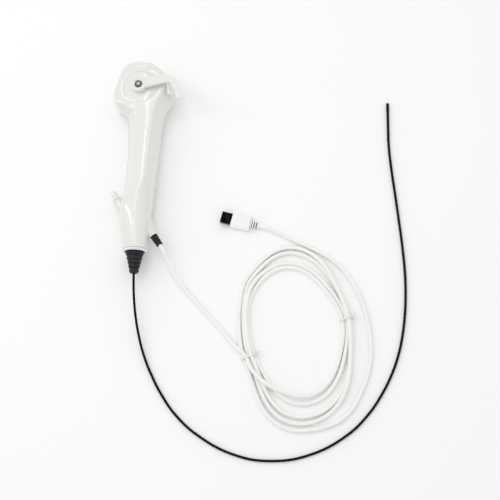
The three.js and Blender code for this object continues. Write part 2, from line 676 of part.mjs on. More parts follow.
function addElectronics() {
  const boardTop = BOARD_LEVEL + BOARD.thickness;
  const [centre, start] = place(1.2, BOARD_START);
  const end = start - BOARD.length;
  const left = centre - BOARD.width / 2;
  piece('circuit_board', block([left, end, BOARD_LEVEL], [left + BOARD.width, start, boardTop]), 'board');
  const chipLow = boardTop + CLEARANCE;
  piece('video_processor', block([centre - 4, start - 28, chipLow], [centre + 4, start - 20, chipLow + 1.3]), 'chip');
  const connector = { low: end + 1, high: end + 5.4 };
  piece(
    'board_connector',
    block([centre - 3.4, connector.low, chipLow], [centre + 3.4, connector.high, chipLow + 4]),
    'clearPlastic',
  );

  const junctionStart = junctionEnd() + JUNCTION_LENGTH;
  // The lead passes over the wire guide.
  const overGuide = WIRE_LEVEL + GUIDE_HALF_HEIGHT + CAMERA_LEAD_RADIUS + CLEARANCE;
  const leadLevel = Math.max(PARTING + 1.6, overGuide);
  piece('camera_lead', sweptTube([
    [centre - 1.8, connector.low - CLEARANCE, chipLow + 2],
    [centre - 1.8, connector.low - 8, chipLow + 2],
    [-0.6, junctionStart + 10, leadLevel],
    [-0.6, junctionStart + CLEARANCE, leadLevel],
  ], CAMERA_LEAD_RADIUS, 8, 16), 'blackTube');

  const inGland = (along) => new THREE.Vector3(0, 0, along).applyMatrix4(glandFrame).toArray();
  const [bendX, bendY] = place(8.2, -138);
  piece('usb_lead_inner', sweptTube([
    [centre + 1.9, connector.low - CLEARANCE, chipLow + 2],
    [centre + 2.6, connector.low - 9, chipLow + 2],
    [bendX - 3, bendY + 14, Math.max(PARTING + 2.4, overGuide + CABLE_RADIUS)],
    [bendX, bendY, PARTING + 0.4],
    inGland(-14),
    inGland(-6),
    inGland(GLAND_LENGTH),
  ], CABLE_RADIUS * 0.8, 8, 26), 'whiteCable');
}

// ---------------------------------------------------------------------------------------------
// Side port, channel tube, junction, boot and tube clamp
// ---------------------------------------------------------------------------------------------

function addPort() {
  const port = groupAt(portFrame);
  const gasketTop = CLEARANCE + 0.5;
  const flangeLow = gasketTop + CLEARANCE;
  const flangeTop = flangeLow + 0.6;
  piece('port_gasket', ring(PORT_BOSS_RADIUS - 0.3, PORT_RADIUS + CLEARANCE, CLEARANCE, gasketTop, 28), 'clearPlastic', port);
  piece('luer_port', turned([
    [PORT_BORE, -10], [PORT_RADIUS, -10], [PORT_RADIUS, flangeLow], [PORT_BOSS_RADIUS - 0.3, flangeLow],
    [PORT_BOSS_RADIUS - 0.3, flangeTop], [PORT_RADIUS - 0.5, flangeTop], [PORT_RADIUS - 0.7, flangeTop + 7],
    [PORT_BORE, flangeTop + 7],
  ], 28), 'clearPlastic', port);
  const capLow = flangeTop + CLEARANCE;
  const capInner = CAP_RADIUS - CAP_WALL;
  piece('port_cap', turned([
    [capInner, capLow], [CAP_RADIUS, capLow], [CAP_RADIUS, capLow + CAP_LENGTH - 0.5],
    [CAP_RADIUS - 0.5, capLow + CAP_LENGTH], [0, capLow + CAP_LENGTH],
    [0, capLow + CAP_LENGTH - 1], [capInner, capLow + CAP_LENGTH - 1],
  ], 28), 'clearPlastic', port);
}

function addJunction() {
  const end = junctionEnd();
  const start = end + JUNCTION_LENGTH;
  const low = WIRE_LEVEL + 1.6;
  piece('channel_junction', block([-4.5, end, low], [3.6, start, PARTING + 4.2]), 'innerPlastic');
  const mouth = new THREE.Vector3(0, 0, -10 - CLEARANCE).applyMatrix4(portFrame);
  const back = new THREE.Vector3(0, 0, -14).applyMatrix4(portFrame);
  piece('channel_tube', sweptTube([
    mouth.toArray(),
    back.toArray(),
    [-7.6, start - 7, PARTING + 0.6],
    [-4.5 - 3 * CLEARANCE, start - 8.6, PARTING + 0.6],
  ], 1.1, 8, 12), 'clearPlastic');
}

const bootAxis = (() => {
  const [x, y] = place(0.4, -174.8);
  return { x, end: y };
})();
const NOSE_LENGTH = 3.2;
const CLAMP_REACH = 16; // from the barrel's end to the far end of the tube clamp
// The boot, its flange and the clamp follow the barrel's end, whichever way it is narrower.
const noseScale = Math.min(BODY_DEPTH / 34, gripScale);
const bootSteps = BOOT_STEPS.map((radius) => radius * noseScale);
const flangeRadius = bootSteps[0] + 0.9 * noseScale;

function addBoot() {
  const nose = groupAt(aimed(bootAxis.x, bootAxis.end, PARTING, 0, -1));
  const rim = 12.9 * noseScale;
  const mouth = bootSteps[0] + CLEARANCE + 0.5;
  piece('nose_ring', turned([
    [mouth, CLEARANCE], [rim, CLEARANCE], [rim - 0.1, 1.4], [rim - 0.5, 2.5], [rim - 1.4, NOSE_LENGTH],
    [mouth + 0.4, NOSE_LENGTH], [mouth, NOSE_LENGTH - 0.6],
  ], 40), 'whitePlastic', nose);

  // Each ring of the boot ends in a short neck before the next, smaller one.
  const profile = [[TUBE_RADIUS + CLEARANCE, -4], [flangeRadius, -4], [flangeRadius, -1], [bootSteps[0], -1]];
  bootSteps.forEach((radius, step) => {
    const from = NOSE_LENGTH + step * BOOT_STEP_LENGTH;
    profile.push([radius, step === 0 ? 0 : from + 0.3], [radius - 0.35, from + BOOT_STEP_LENGTH - 1.1]);
    profile.push([radius - 1.15, from + BOOT_STEP_LENGTH - 0.8], [radius - 1.15, from + BOOT_STEP_LENGTH]);
  });
  const bootEnd = NOSE_LENGTH + bootSteps.length * BOOT_STEP_LENGTH;
  profile.pop();
  profile.pop();
  profile.push([bootSteps[4] - 0.8, bootEnd], [TUBE_RADIUS + CLEARANCE, bootEnd]);
  piece('tube_boot', turned(profile, 32), 'blackRubber', nose);
  piece('tube_clamp', turned([
    [TUBE_RADIUS + CLEARANCE, -CLAMP_REACH], [5, -CLAMP_REACH], [5, -9],
    [flangeRadius - 1.7, -8], [flangeRadius - 1.7, -4 - CLEARANCE],
    [TUBE_RADIUS + CLEARANCE, -4 - CLEARANCE],
  ], 28), 'brass', nose);
}

// ---------------------------------------------------------------------------------------------
// Insertion tube: its route, the bending section and the camera tip
// ---------------------------------------------------------------------------------------------

// From the boot's mouth down to the table and round to the bending section.
const TUBE_ROUTE = [
  [0.4, -200.3, 17], [0.6, -211, 16.5], [1.2, -224, 14.6], [3, -243, 10.4], [6.6, -263, 6.2],
  [12.3, -283.2, 3.4], [20.9, -303.5, 1.8], [32.2, -324, 1.35], [47.3, -344.3, 1.35],
  [70, -364.2, 1.35], [108.1, -383.6, 1.35], [144, -389.2, 1.35], [183, -382.7, 1.35],
  [220.5, -362.4, 1.35], [240.6, -342.4, 1.35], [254.3, -322, 1.35], [264.3, -301.6, 1.35],
  [271.3, -281.1, 1.35], [275.6, -260.5, 1.35], [278, -239.8, 1.35], [278.9, -218.8, 1.35],
  [278.5, -197.8, 1.35], [275.6, -164.7, 1.35], [272.4, -138.8, 1.35], [269, -112.7, 1.35],
  [265.4, -86.3, 1.35], [262.9, -64, 1.35], [262, -51.8, 1.35],
];
const BEND_BASE = [262, -51.5];
const BEND_HEADING = 1; // degrees from +Y towards -X
const BEND_LEVEL = 1.6;

function addInsertionTube() {
  piece('insertion_tube', sweptTube(TUBE_ROUTE, TUBE_RADIUS, 8, 80), 'blackTube');
  const [x, y] = BEND_BASE;
  const frame = aimed(x, y, BEND_LEVEL, -Math.sin(degrees(BEND_HEADING)), Math.cos(degrees(BEND_HEADING)));
  const section = groupAt(frame);
  piece('bend_collar', ring(BEND_RADIUS, BEND_BORE, 0, BEND_COLLAR_LENGTH - LINK_GAP / 2, 14), 'steel', section);
  for (let link = 0; link < LINK_COUNT; link += 1) {
    const low = BEND_COLLAR_LENGTH + link * LINK_PITCH + LINK_GAP / 2;
    const high = low + LINK_PITCH - LINK_GAP;
    piece(`bending_link_${link + 1}`, ring(BEND_RADIUS, BEND_BORE, low, high, 14), 'steel', section);
  }
  const tipLow = BEND_COLLAR_LENGTH + LINK_COUNT * LINK_PITCH + CLEARANCE / 2;
  const tipHigh = tipLow + TIP_LENGTH;
  const ledOffset = 0.98;
  let housing = solid(turned([
    [0, tipLow], [TIP_RADIUS, tipLow], [TIP_RADIUS, tipHigh - 0.3], [TIP_RADIUS - 0.3, tipHigh], [0, tipHigh],
  ], 20));
  housing = housing.subtract(solid(ring(LENS_RADIUS + 0.1, 0, tipHigh - 2, tipHigh + 1, 16)));
  const lens = ring(LENS_RADIUS, 0, tipHigh - 1.6, tipHigh - 0.1, 16);
  for (const [name, side] of [['left', 1], ['right', -1]]) {
    const well = ring(LED_RADIUS + 0.1, 0, tipHigh - 1.2, tipHigh + 1, 10).translate(side * ledOffset, 0, 0);
    housing = housing.subtract(solid(well));
    const lamp = ring(LED_RADIUS, 0, tipHigh - 0.9, tipHigh - 0.1, 10).translate(side * ledOffset, 0, 0);
    piece(`tip_led_${name}`, lamp, 'clearPlastic', section);
  }
  piece('tip_housing', housing, 'steel', section);
  piece('tip_lens', lens, 'glass', section);
}

// ---------------------------------------------------------------------------------------------
// USB lead: gland, free run, oval coil, tail and the two ties
// ---------------------------------------------------------------------------------------------

const COIL_CENTRE = [166.8, -257.2];
const COIL_RIGHT = [45.4, -5.8]; // from the centre to the right side of the innermost turn
const COIL_TOP = [-4.3, 67]; // from the centre to the top of the innermost turn
// Where the innermost turn swells outwards: angle, how far, and half the width of the swelling.
const COIL_SWELLS = [[14, 5, 0.4], [160, 3.6, 0.5], [206, 2.2, 0.34]];
// How far outside the innermost turn the outermost strand lies, by angle. The first part of it
// is the tail on its way out of the coil, and the rest is the last turn.
const TAIL_SPREAD = [[206, 11], [270, 34.7], [285.5, 34.9]];
const COIL_SPREAD = [[285.5, 26.4], [374, 8.7], [450, 21.5], [495, 13.6], [525, 9.1], [566, 11]];
const LEFT_TIE = { x: 120.6, y: -284.2, angle: 20.7, half: 8.3 };
const RIGHT_TIE = { x: 219, y: -244.5, angle: 12.6, half: 7.2 };

// A value read from [angle, value] pairs, eased from one pair to the next.
function eased(pairs, angle) {
  const next = Math.max(1, pairs.findIndex(([to]) => angle <= to));
  const [[from, start], [to, end]] = [pairs[next - 1], pairs[next]];
  return THREE.MathUtils.lerp(start, end, THREE.MathUtils.smoothstep(angle, from, to));
}

// A place in the coil: an angle round it and how far it is outside the innermost turn.
function coilPoint(angle, outside) {
  const turn = degrees(angle);
  const [right, top] = [COIL_RIGHT, COIL_TOP].map(([x, y]) => new THREE.Vector2(x, y));
  const run = right.clone().multiplyScalar(-Math.sin(turn)).addScaledVector(top, Math.cos(turn)).normalize();
  const swell = COIL_SWELLS.reduce((sum, [centre, height, width]) => {
    const away = Math.atan2(Math.sin(turn - degrees(centre)), Math.cos(turn - degrees(centre)));
    return sum + height * Math.exp(-((away / width) ** 2));
  }, 0);
  return new THREE.Vector2(...COIL_CENTRE)
    .addScaledVector(right, Math.cos(turn))
    .addScaledVector(top, Math.sin(turn))
    .addScaledVector(new THREE.Vector2(run.y, -run.x), swell + outside)
    .toArray();
}

// The band that the strands fill, from inside the innermost to outside the outermost.
function coilBand() {
  const reach = CABLE_RADIUS + 0.15;
  const sides = 72;
  const along = (pairs, count) => {
    const [from, to] = [pairs[0][0], pairs[pairs.length - 1][0]];
    return Array.from({ length: count }, (_, i) => {
      const angle = from + ((to - from) * i) / (count - 1);
      return coilPoint(angle, eased(pairs, angle) + reach);
    });
  };
  const outline = [...along(TAIL_SPREAD, 17), ...along(COIL_SPREAD, 56).slice(0, -1)];
  const hole = Array.from({ length: sides }, (_, i) => coilPoint((360 * i) / sides, -reach));
  return plate(outline, 0, COIL_HEIGHT, [hole]);
}

// A flat tie round the strands, grown all round by a margin when it is used as a cutter.
function tieLoop(tie, margin) {
  const half = tie.half + margin;
  const thick = TIE_THICKNESS;
  const top = COIL_HEIGHT + 2 * thick + 0.6 + margin;
  const width = TIE_WIDTH / 2 + margin;
  const outer = solid(block([-half - thick, -width, margin > 0 ? -1 : 0], [half + thick, width, top]));
  const hole = half - 2 * margin;
  const window = solid(block([-hole, -width - 1, thick + margin], [hole, width + 1, top - thick - 2 * margin]));
  return outer.subtract(window);
}

function placeTie(shape, tie) {
  const geometry = geometryOf(shape).rotateZ(degrees(tie.angle)).translate(tie.x, tie.y, 0);
  return solid(geometry);
}

// The twisted ends of a tie, two short prongs beside the coil.
function tieTails(tie) {
  const start = new THREE.Vector3(tie.half + TIE_THICKNESS * 0.6, 0, COIL_HEIGHT - 0.6);
  const prongs = [0.5, -0.35].map((lean) => {
    const bar = ring(0.8, 0, 0, 6.5, 8).applyMatrix4(aimed(start.x, start.y, start.z, 1, lean));
    return solid(bar);
  });
  return union(...prongs);
}

// From the gland's mouth down to the table and on to the left tie.
const LEAD_ROUTE = [
  [26.6, -170.6, 17], [30.2, -176.6, 15.4], [34.6, -186.2, 11.8], [42.2, -200.9, 7.4],
  [53, -214.9, 4.4], [74, -237.6, 2.3], [92, -258, 2.25], [102, -270.4, 2.25], [107.6, -278.8, 2.25],
];
// From the bottom of the coil round its right side to the plug.
const TAIL_ROUTE = [
  [197, -355.4, 2.25], [219, -343.6, 2.25], [233.6, -320.6, 2.25], [241, -299.6, 2.25],
  [243.8, -281.5, 2.25], [242.2, -256.2, 2.25], [235.8, -229.8, 2.25], [226.4, -208.4, 2.25],
  [213.4, -190.4, 2.25], [197, -177.2, 2.25], [180, -168, 2.25], [163.6, -160.5, 2.4],
  [146.4, -152.3, 3.4], [136.9, -148.3, 4.15], [127.25, -145.75, 4.25],
];

function addUsbLead() {
  const gland = groupAt(glandFrame);
  const bore = CABLE_RADIUS + CLEARANCE;
  const profile = [[bore, -9], [GLAND_SHANK, -9], [GLAND_SHANK, CLEARANCE], [GLAND_RADIUS, CLEARANCE]];
  const grooves = 3;
  const step = (GLAND_LENGTH - 2.4) / grooves;
  for (let groove = 0; groove < grooves; groove += 1) {
    const from = 1.6 + groove * step;
    const radius = GLAND_RADIUS - 0.12 * groove;
    profile.push([radius, from], [radius - 0.7, from + 0.25], [radius - 0.7, from + 0.95], [radius - 0.12, from + 1.2]);
  }
  profile.push([GLAND_RADIUS - 0.5, GLAND_LENGTH], [bore, GLAND_LENGTH]);
  piece('cable_gland', turned(profile, 28), 'blackRubber', gland);

  piece('usb_cable_lead', sweptTube(LEAD_ROUTE, CABLE_RADIUS, 10, 20), 'whiteCable');
  const ties = { left: LEFT_TIE, right: RIGHT_TIE };
  let coil = solid(coilBand());
  for (const [name, tie] of Object.entries(ties)) {
    coil = coil.subtract(placeTie(tieLoop(tie, CLEARANCE), tie));
    piece(`cable_tie_${name}`, placeTie(tieLoop(tie, 0).add(tieTails(tie)), tie), 'clearPlastic');
  }
  piece('usb_cable_coil', coil, 'whiteCable');
  piece('usb_cable_tail', sweptTube(TAIL_ROUTE, CABLE_RADIUS, 10, 44), 'whiteCable');
}

// ---------------------------------------------------------------------------------------------
// USB plug, along its own +Z from the cable to the open end
// ---------------------------------------------------------------------------------------------

const PLUG_PLACE = [118.6, -143.6];
const PLUG_HEADING = 166; // degrees from +X, the way the open end points
const PLUG_LEVEL = 4.25;
const RELIEF_LENGTH = 8.6;

function addPlug() {
  const heading = degrees(PLUG_HEADING);
  const plug = groupAt(aimed(...PLUG_PLACE, PLUG_LEVEL, Math.cos(heading), Math.sin(heading)));
  const { length, width, height } = PLUG_BODY;
  const [side, up, shoulder, slope] = [width / 2, height / 2, 3.4, 1.7];
  const section = [
    [-side, -up + slope], [-side + shoulder, -up], [side - shoulder, -up], [side, -up + slope],
    [side, up - slope], [side - shoulder, up], [-side + shoulder, up], [-side, up - slope],
  ];
  const shellSide = PLUG_SHELL.width / 2;
  const shellUp = PLUG_SHELL.height / 2;
  const pocket = solid(block(
    [-shellSide - CLEARANCE, -shellUp - CLEARANCE, length - PLUG_SHELL.buried - CLEARANCE],
    [shellSide + CLEARANCE, shellUp + CLEARANCE, length + 1],
  ));
  piece('usb_plug_body', solid(plate(section, 0, length)).subtract(pocket), 'whiteCable', plug);

  const shellLow = length - PLUG_SHELL.buried;
  const shellHigh = shellLow + PLUG_SHELL.length + PLUG_SHELL.buried;
  const { wall } = PLUG_SHELL;
  const can = solid(block([-shellSide, -shellUp, shellLow], [shellSide, shellUp, shellHigh])).subtract(solid(block(
    [-shellSide + wall, -shellUp + wall, shellLow + 1],
    [shellSide - wall, shellUp - wall, shellHigh + 1],
  )));
  piece('usb_plug_shell', can, 'steel', plug);
  const tongueLow = shellLow + 1 + CLEARANCE;
  const tongueSide = shellSide - wall - CLEARANCE;
  const tongue = { low: -shellUp + wall + CLEARANCE, high: -shellUp + wall + CLEARANCE + 1.7 };
  piece(
    'usb_plug_tongue',
    block([-tongueSide, tongue.low, tongueLow], [tongueSide, tongue.high, shellHigh - 0.6]),
    'whiteCable',
    plug,
  );
  // Four contact strips, held together at their roots by a bar.
  const [contactLow, contactHigh] = [tongue.high + CLEARANCE / 2, tongue.high + CLEARANCE / 2 + 0.3];
  const strips = [-3.5, -1, 1, 3.5].map((offset) => solid(block(
    [offset - 0.5, contactLow, tongueLow + 1],
    [offset + 0.5, contactHigh, shellHigh - 1.4],
  )));
  const bar = solid(block([-4, contactLow, tongueLow + 0.2], [4, contactHigh, tongueLow + 1.4]));
  piece('usb_plug_contacts', union(bar, ...strips), 'brass', plug);

  const bore = CABLE_RADIUS + CLEARANCE;
  const profile = [[bore, -CLEARANCE], [3.4, -CLEARANCE]];
  for (let groove = 0; groove < 3; groove += 1) {
    const from = -1.5 - groove * 2.4;
    const radius = 3.4 - 0.12 * groove;
    profile.push([radius, from], [radius - 0.7, from - 0.2], [radius - 0.7, from - 1], [radius - 0.12, from - 1.2]);
  }
  profile.push([3, -RELIEF_LENGTH], [bore, -RELIEF_LENGTH]);
  piece('usb_plug_relief', turned(profile, 24), 'whiteCable', plug);
}

addHousing();
addLever();
addPullWires();
addElectronics();
addPort();
addJunction();
addBoot();
addInsertionTube();
addUsbLead();
addPlug();

export default scope;
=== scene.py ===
"""Flexible scope camera with a lever handle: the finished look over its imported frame."""

import json
import math

import bpy
from bpy.props import FloatProperty, FloatVectorProperty, IntProperty, PointerProperty
from mathutils import Matrix, Vector


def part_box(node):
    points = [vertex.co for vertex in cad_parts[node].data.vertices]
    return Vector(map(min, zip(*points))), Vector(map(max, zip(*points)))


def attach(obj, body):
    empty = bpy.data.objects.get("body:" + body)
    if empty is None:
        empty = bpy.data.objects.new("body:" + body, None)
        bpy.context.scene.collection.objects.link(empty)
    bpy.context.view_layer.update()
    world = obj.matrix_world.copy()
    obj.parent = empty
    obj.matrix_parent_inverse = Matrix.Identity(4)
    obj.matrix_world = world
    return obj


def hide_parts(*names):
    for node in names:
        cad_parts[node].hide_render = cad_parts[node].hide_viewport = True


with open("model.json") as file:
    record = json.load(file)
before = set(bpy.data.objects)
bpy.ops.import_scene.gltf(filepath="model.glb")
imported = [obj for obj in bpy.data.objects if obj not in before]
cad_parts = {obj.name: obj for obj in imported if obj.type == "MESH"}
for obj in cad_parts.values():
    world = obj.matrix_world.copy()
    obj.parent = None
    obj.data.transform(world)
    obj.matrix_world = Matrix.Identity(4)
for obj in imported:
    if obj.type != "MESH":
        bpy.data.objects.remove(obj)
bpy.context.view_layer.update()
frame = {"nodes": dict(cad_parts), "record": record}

bl_info = {
    "name": "Flexible Scope Camera",
    "version": (1, 0, 0),
    "blender": (4, 5, 0),
    "location": "View3D > Sidebar > Scope",
    "description": "Builds the lever handle, insertion tube, USB lead and stage of a flexible scope camera",
    "category": "Add Mesh",
}

MM = 0.001

# ---------------------------------------------------------------------------------------------
# Places shared by several pieces, in millimetres
# ---------------------------------------------------------------------------------------------

PARTING = 17.0
TUBE_REST = 1.35
CABLE_REST = 2.25


def heading(angle):
    """The direction in the plane of the table at an angle in degrees from +X."""
    return Vector((math.cos(math.radians(angle)), math.sin(math.radians(angle)), 0))


PORT_MOUTH = Vector((-20.4, -121.7, PARTING))
PORT_AIM = heading(122)
GLAND_ROOT = Vector((19.3, -160.1, PARTING))
GLAND_AIM = heading(-55)
GLAND_LENGTH = 12.3
GLAND_RIBS = 3
GLAND_RIB_PITCH = 3.3
NOSE = Vector((0.4, -174.8, PARTING))
NOSE_AIM = Vector((0, -1, 0))
BOOT_LENGTH = 25.2
BOOT_RADII = (9.2, 8.1, 7.05, 6.05, 5.15)
BOOT_FIRST_STEP = 3.2
BOOT_STEP = 4.4
BOOT_GROOVE = 1.6
BEND_BASE = Vector((262, -51.5, 1.6))
BEND_AIM = heading(91)
FIRST_JOINT = 4.0
LINK_PITCH = 3.6
LINKS = 8
LINKS_PER_JOINT = 2
PLUG_ROOT = Vector((118.6, -143.6, 4.25))
PLUG_AIM = heading(166)

# From inside the boot down to the table and round to the bending section.
TUBE_ROUTE = [
    (0.4, -192, 17), (0.4, -200.3, 17), (0.6, -211, 16.5), (1.2, -224, 14.6), (3, -243, 10.4),
    (6.6, -263, 6.2), (12.3, -283.2, 3.4), (20.9, -303.5, 1.8), (32.2, -324, TUBE_REST),
    (47.3, -344.3, TUBE_REST), (70, -364.2, TUBE_REST), (108.1, -383.6, TUBE_REST),
    (144, -389.2, TUBE_REST), (183, -382.7, TUBE_REST), (220.5, -362.4, TUBE_REST),
    (240.6, -342.4, TUBE_REST), (254.3, -322, TUBE_REST), (264.3, -301.6, TUBE_REST),
    (271.3, -281.1, TUBE_REST), (275.6, -260.5, TUBE_REST), (278, -239.8, TUBE_REST),
    (278.9, -218.8, TUBE_REST), (278.5, -197.8, TUBE_REST), (275.6, -164.7, TUBE_REST),
    (272.4, -138.8, TUBE_REST), (269, -112.7, TUBE_REST), (265.4, -86.3, TUBE_REST),
    (262.9, -64, TUBE_REST), (262, -51.5, 1.6),
]
# From inside the gland down to the table and up to the left tie.
LEAD_ROUTE = [
    (22.2, -164.3, 17), (26.4, -170.2, 17), (30.2, -176.6, 15.4), (34.6, -186.2, 11.8),
    (42.2, -200.9, 7.4), (53, -214.9, 4.4), (74, -237.6, 2.3), (92, -257.4, CABLE_REST),
    (103.6, -271.2, 3.2),
]
# From the bottom of the coil round its right side and into the plug.
TAIL_ROUTE = [
    (181, -358.2, CABLE_REST), (197, -355.4, CABLE_REST), (219, -343.6, CABLE_REST),
    (233.6, -320.6, CABLE_REST), (241, -299.6, CABLE_REST), (243.8, -281.5, CABLE_REST),
    (242.2, -256.2, CABLE_REST), (235.8, -229.8, CABLE_REST), (226.4, -208.4, CABLE_REST),
    (213.4, -190.4, CABLE_REST), (197, -177.2, CABLE_REST), (180, -168, CABLE_REST),
    (163.6, -160.5, 2.4), (146.4, -152.3, 3.4), (136.9, -148.3, 4.15), (127.25, -145.75, 4.25),
    (120.5, -144.1, 4.25),
]
COIL_CENTRE = Vector((166.8, -257.2))
COIL_RIGHT = Vector((45.4, -5.8))
COIL_TOP = Vector((-4.3, 67))
# Where the innermost turn swells outwards: angle in degrees, how far, and half the width of the
# swelling in radians.
COIL_SWELLS = ((14, 5, 0.4), (160, 3.6, 0.5), (206, 2.2, 0.34))
# Along the cable, in degrees round the coil from where it first passes the left tie: how far it
# lies outside the innermost turn, and how high.
STRAND_STEP = 8
STRAND_OUT = (
    (206, 8.25), (216, 9.0), (266, 0), (566, 0), (630, 7.6), (734, 4.35), (855, 4.35), (885, 2.2),
    (926, 2.75), (990, 20.6), (1094, 8.7), (1170, 15.6), (1215, 9.1), (1245, 4.6), (1286, 5.5),
    (1350, 27.6), (1454, 6.5), (1530, 21.5), (1575, 13.6), (1605, 9.1), (1646, 11), (1710, 34.7),
)
STRAND_HEIGHT = (
    (206, 5.6), (222, 8.6), (238, 8.4), (252, 6.6), (262, 6.6), (302, CABLE_REST), (838, CABLE_REST),
    (868, 6.0), (900, 6.0), (926, 5.6), (936, 5.6), (968, CABLE_REST), (1375, CABLE_REST), (1405, 6.6),
    (1490, 6.6), (1520, CABLE_REST), (1710, CABLE_REST),
)


# Name, place, what it points at, size, and its share of the key light; in metres.
LIGHTS = (
    ("overhead", (-0.1, 0.1, 1.7), (0.12, -0.17, 0), (1.5, 1.5), 0.45),
    ("left_strip", (-0.82, 0.15, 0.92), (0, -0.13, 0), (0.05, 1.3), 0.42),
    ("top_strip", (-0.06, 0.25, 1.4), (0, -0.13, 0), (0.05, 1.3), 0.35),
)
CAMERA_TARGET = Vector((118.43, -170.6, 0))
CAMERA_BACK = Vector((0.0943, -0.2846, 1)).normalized()
CAMERA_TOP = Vector((-0.0237, 0.9997, 0))
FLOOR_SIZE = 6

SLOT_FINISHES = {
    "white_plastic": "housing", "clear_plastic": "clear", "black_rubber": "rubber",
    "black_tube": "tube", "white_cable": "cable", "steel": "steel", "brass": "brass",
    "inner_plastic": "moulding", "board": "board", "chip": "chip", "lens_glass": "lens",
}


def smooth_step(value, low, high):
    """Rises smoothly from 0 at low to 1 at high."""
    share = min(max((value - low) / (high - low), 0), 1)
    return share * share * (3 - 2 * share)


def eased(pairs, angle):
    """A value read from (angle, value) pairs, eased from one pair to the next."""
    for (start, first), (end, last) in zip(pairs, pairs[1:]):
        if angle <= end:
            return first + (last - first) * smooth_step(angle, start, end)
    return pairs[-1][1]


def coil_place(angle, outside):
    """A place in the coil: degrees round it and how far it is outside the innermost turn."""
    turn = math.radians(angle)
    base = COIL_CENTRE + COIL_RIGHT * math.cos(turn) + COIL_TOP * math.sin(turn)
    tangent = COIL_TOP * math.cos(turn) - COIL_RIGHT * math.sin(turn)
    outward = Vector((tangent.y, -tangent.x)).normalized()
    for centre, height, width in COIL_SWELLS:
        away = math.radians((angle - centre + 180) % 360 - 180)
        outside += height * math.exp(-((away / width) ** 2))
    return base + outward * outside


def usb_route():
    """The lead, its four turns and its tail as one run of points."""
    route = list(LEAD_ROUTE)
    for angle in range(STRAND_OUT[0][0], STRAND_OUT[-1][0] + 1, STRAND_STEP):
        place = coil_place(angle, eased(STRAND_OUT, angle))
        route.append((place.x, place.y, eased(STRAND_HEIGHT, angle)))
    return route + TAIL_ROUTE


# ---------------------------------------------------------------------------------------------
# Settings shown in the sidebar
# ---------------------------------------------------------------------------------------------


def length(name, description, default):
    return FloatProperty(name=name, description=description, default=default, min=0.0, precision=5, unit="LENGTH")


def colour(name, description, default):
    return FloatVectorProperty(
        name=name, description=description, default=default, size=3, min=0.0, max=1.0, subtype="COLOR"
    )


class ScopeSizes(bpy.types.PropertyGroup):
    """Sizes of what is modelled here."""

    edge: length("Shell edge", "Rounding of the housing's moulded edges", 0.35 * MM)
    lever_grain: length("Lever voxel", "Voxel size of the lever's rounded body", 0.34 * MM)
    cable: length("Cable diameter", "Outer diameter of the USB cable", 4.3 * MM)
    tube: length("Tube diameter", "Outer diameter of the insertion tube", 2.6 * MM)
    sleeve: length("Sleeve radius", "Radius of the bending section's rubber sleeve", 1.38 * MM)
    tie: length("Tie width", "Width of the twist ties round the coil", 2.3 * MM)
    sides: IntProperty(name="Sides", description="Sides of a turned piece", default=64, min=16, max=128)


class ScopeColours(bpy.types.PropertyGroup):
    """Colours of the finishes."""

    housing: colour("Housing", "Glossy off-white plastic of the handle and lever", (0.80, 0.81, 0.775))
    cable: colour("Cable", "White cable jacket and plug", (0.93, 0.935, 0.91))
    rubber: colour("Rubber", "Boot, gland and seals", (0.011, 0.0115, 0.014))
    tube: colour("Tube", "Black sheath of the insertion tube", (0.0015, 0.0015, 0.0016))
    steel: colour("Steel", "Screws, shaft and plug shell", (0.55, 0.55, 0.54))
    brass: colour("Brass", "Bushes and contacts", (0.80, 0.58, 0.25))
    clear: colour("Clear", "Milky plastic of the port cap and ties", (0.91, 0.92, 0.90))
    floor: colour("Floor", "Pale table top", (0.975, 0.975, 0.975))


class ScopeStage(bpy.types.PropertyGroup):
    """Camera and light."""

    lens: FloatProperty(name="Lens", description="Focal length in millimetres", default=100.0, min=10.0)
    distance: length("Distance", "From the camera to what it looks at", 1.4444)
    key: FloatProperty(name="Key light", description="Strength of the overhead light in watts", default=4.4, min=0.0)
    fill: FloatProperty(name="Fill", description="Strength of the light from all round", default=0.82, min=0.0)


# ---------------------------------------------------------------------------------------------
# Finishes
# ---------------------------------------------------------------------------------------------

finishes = {}


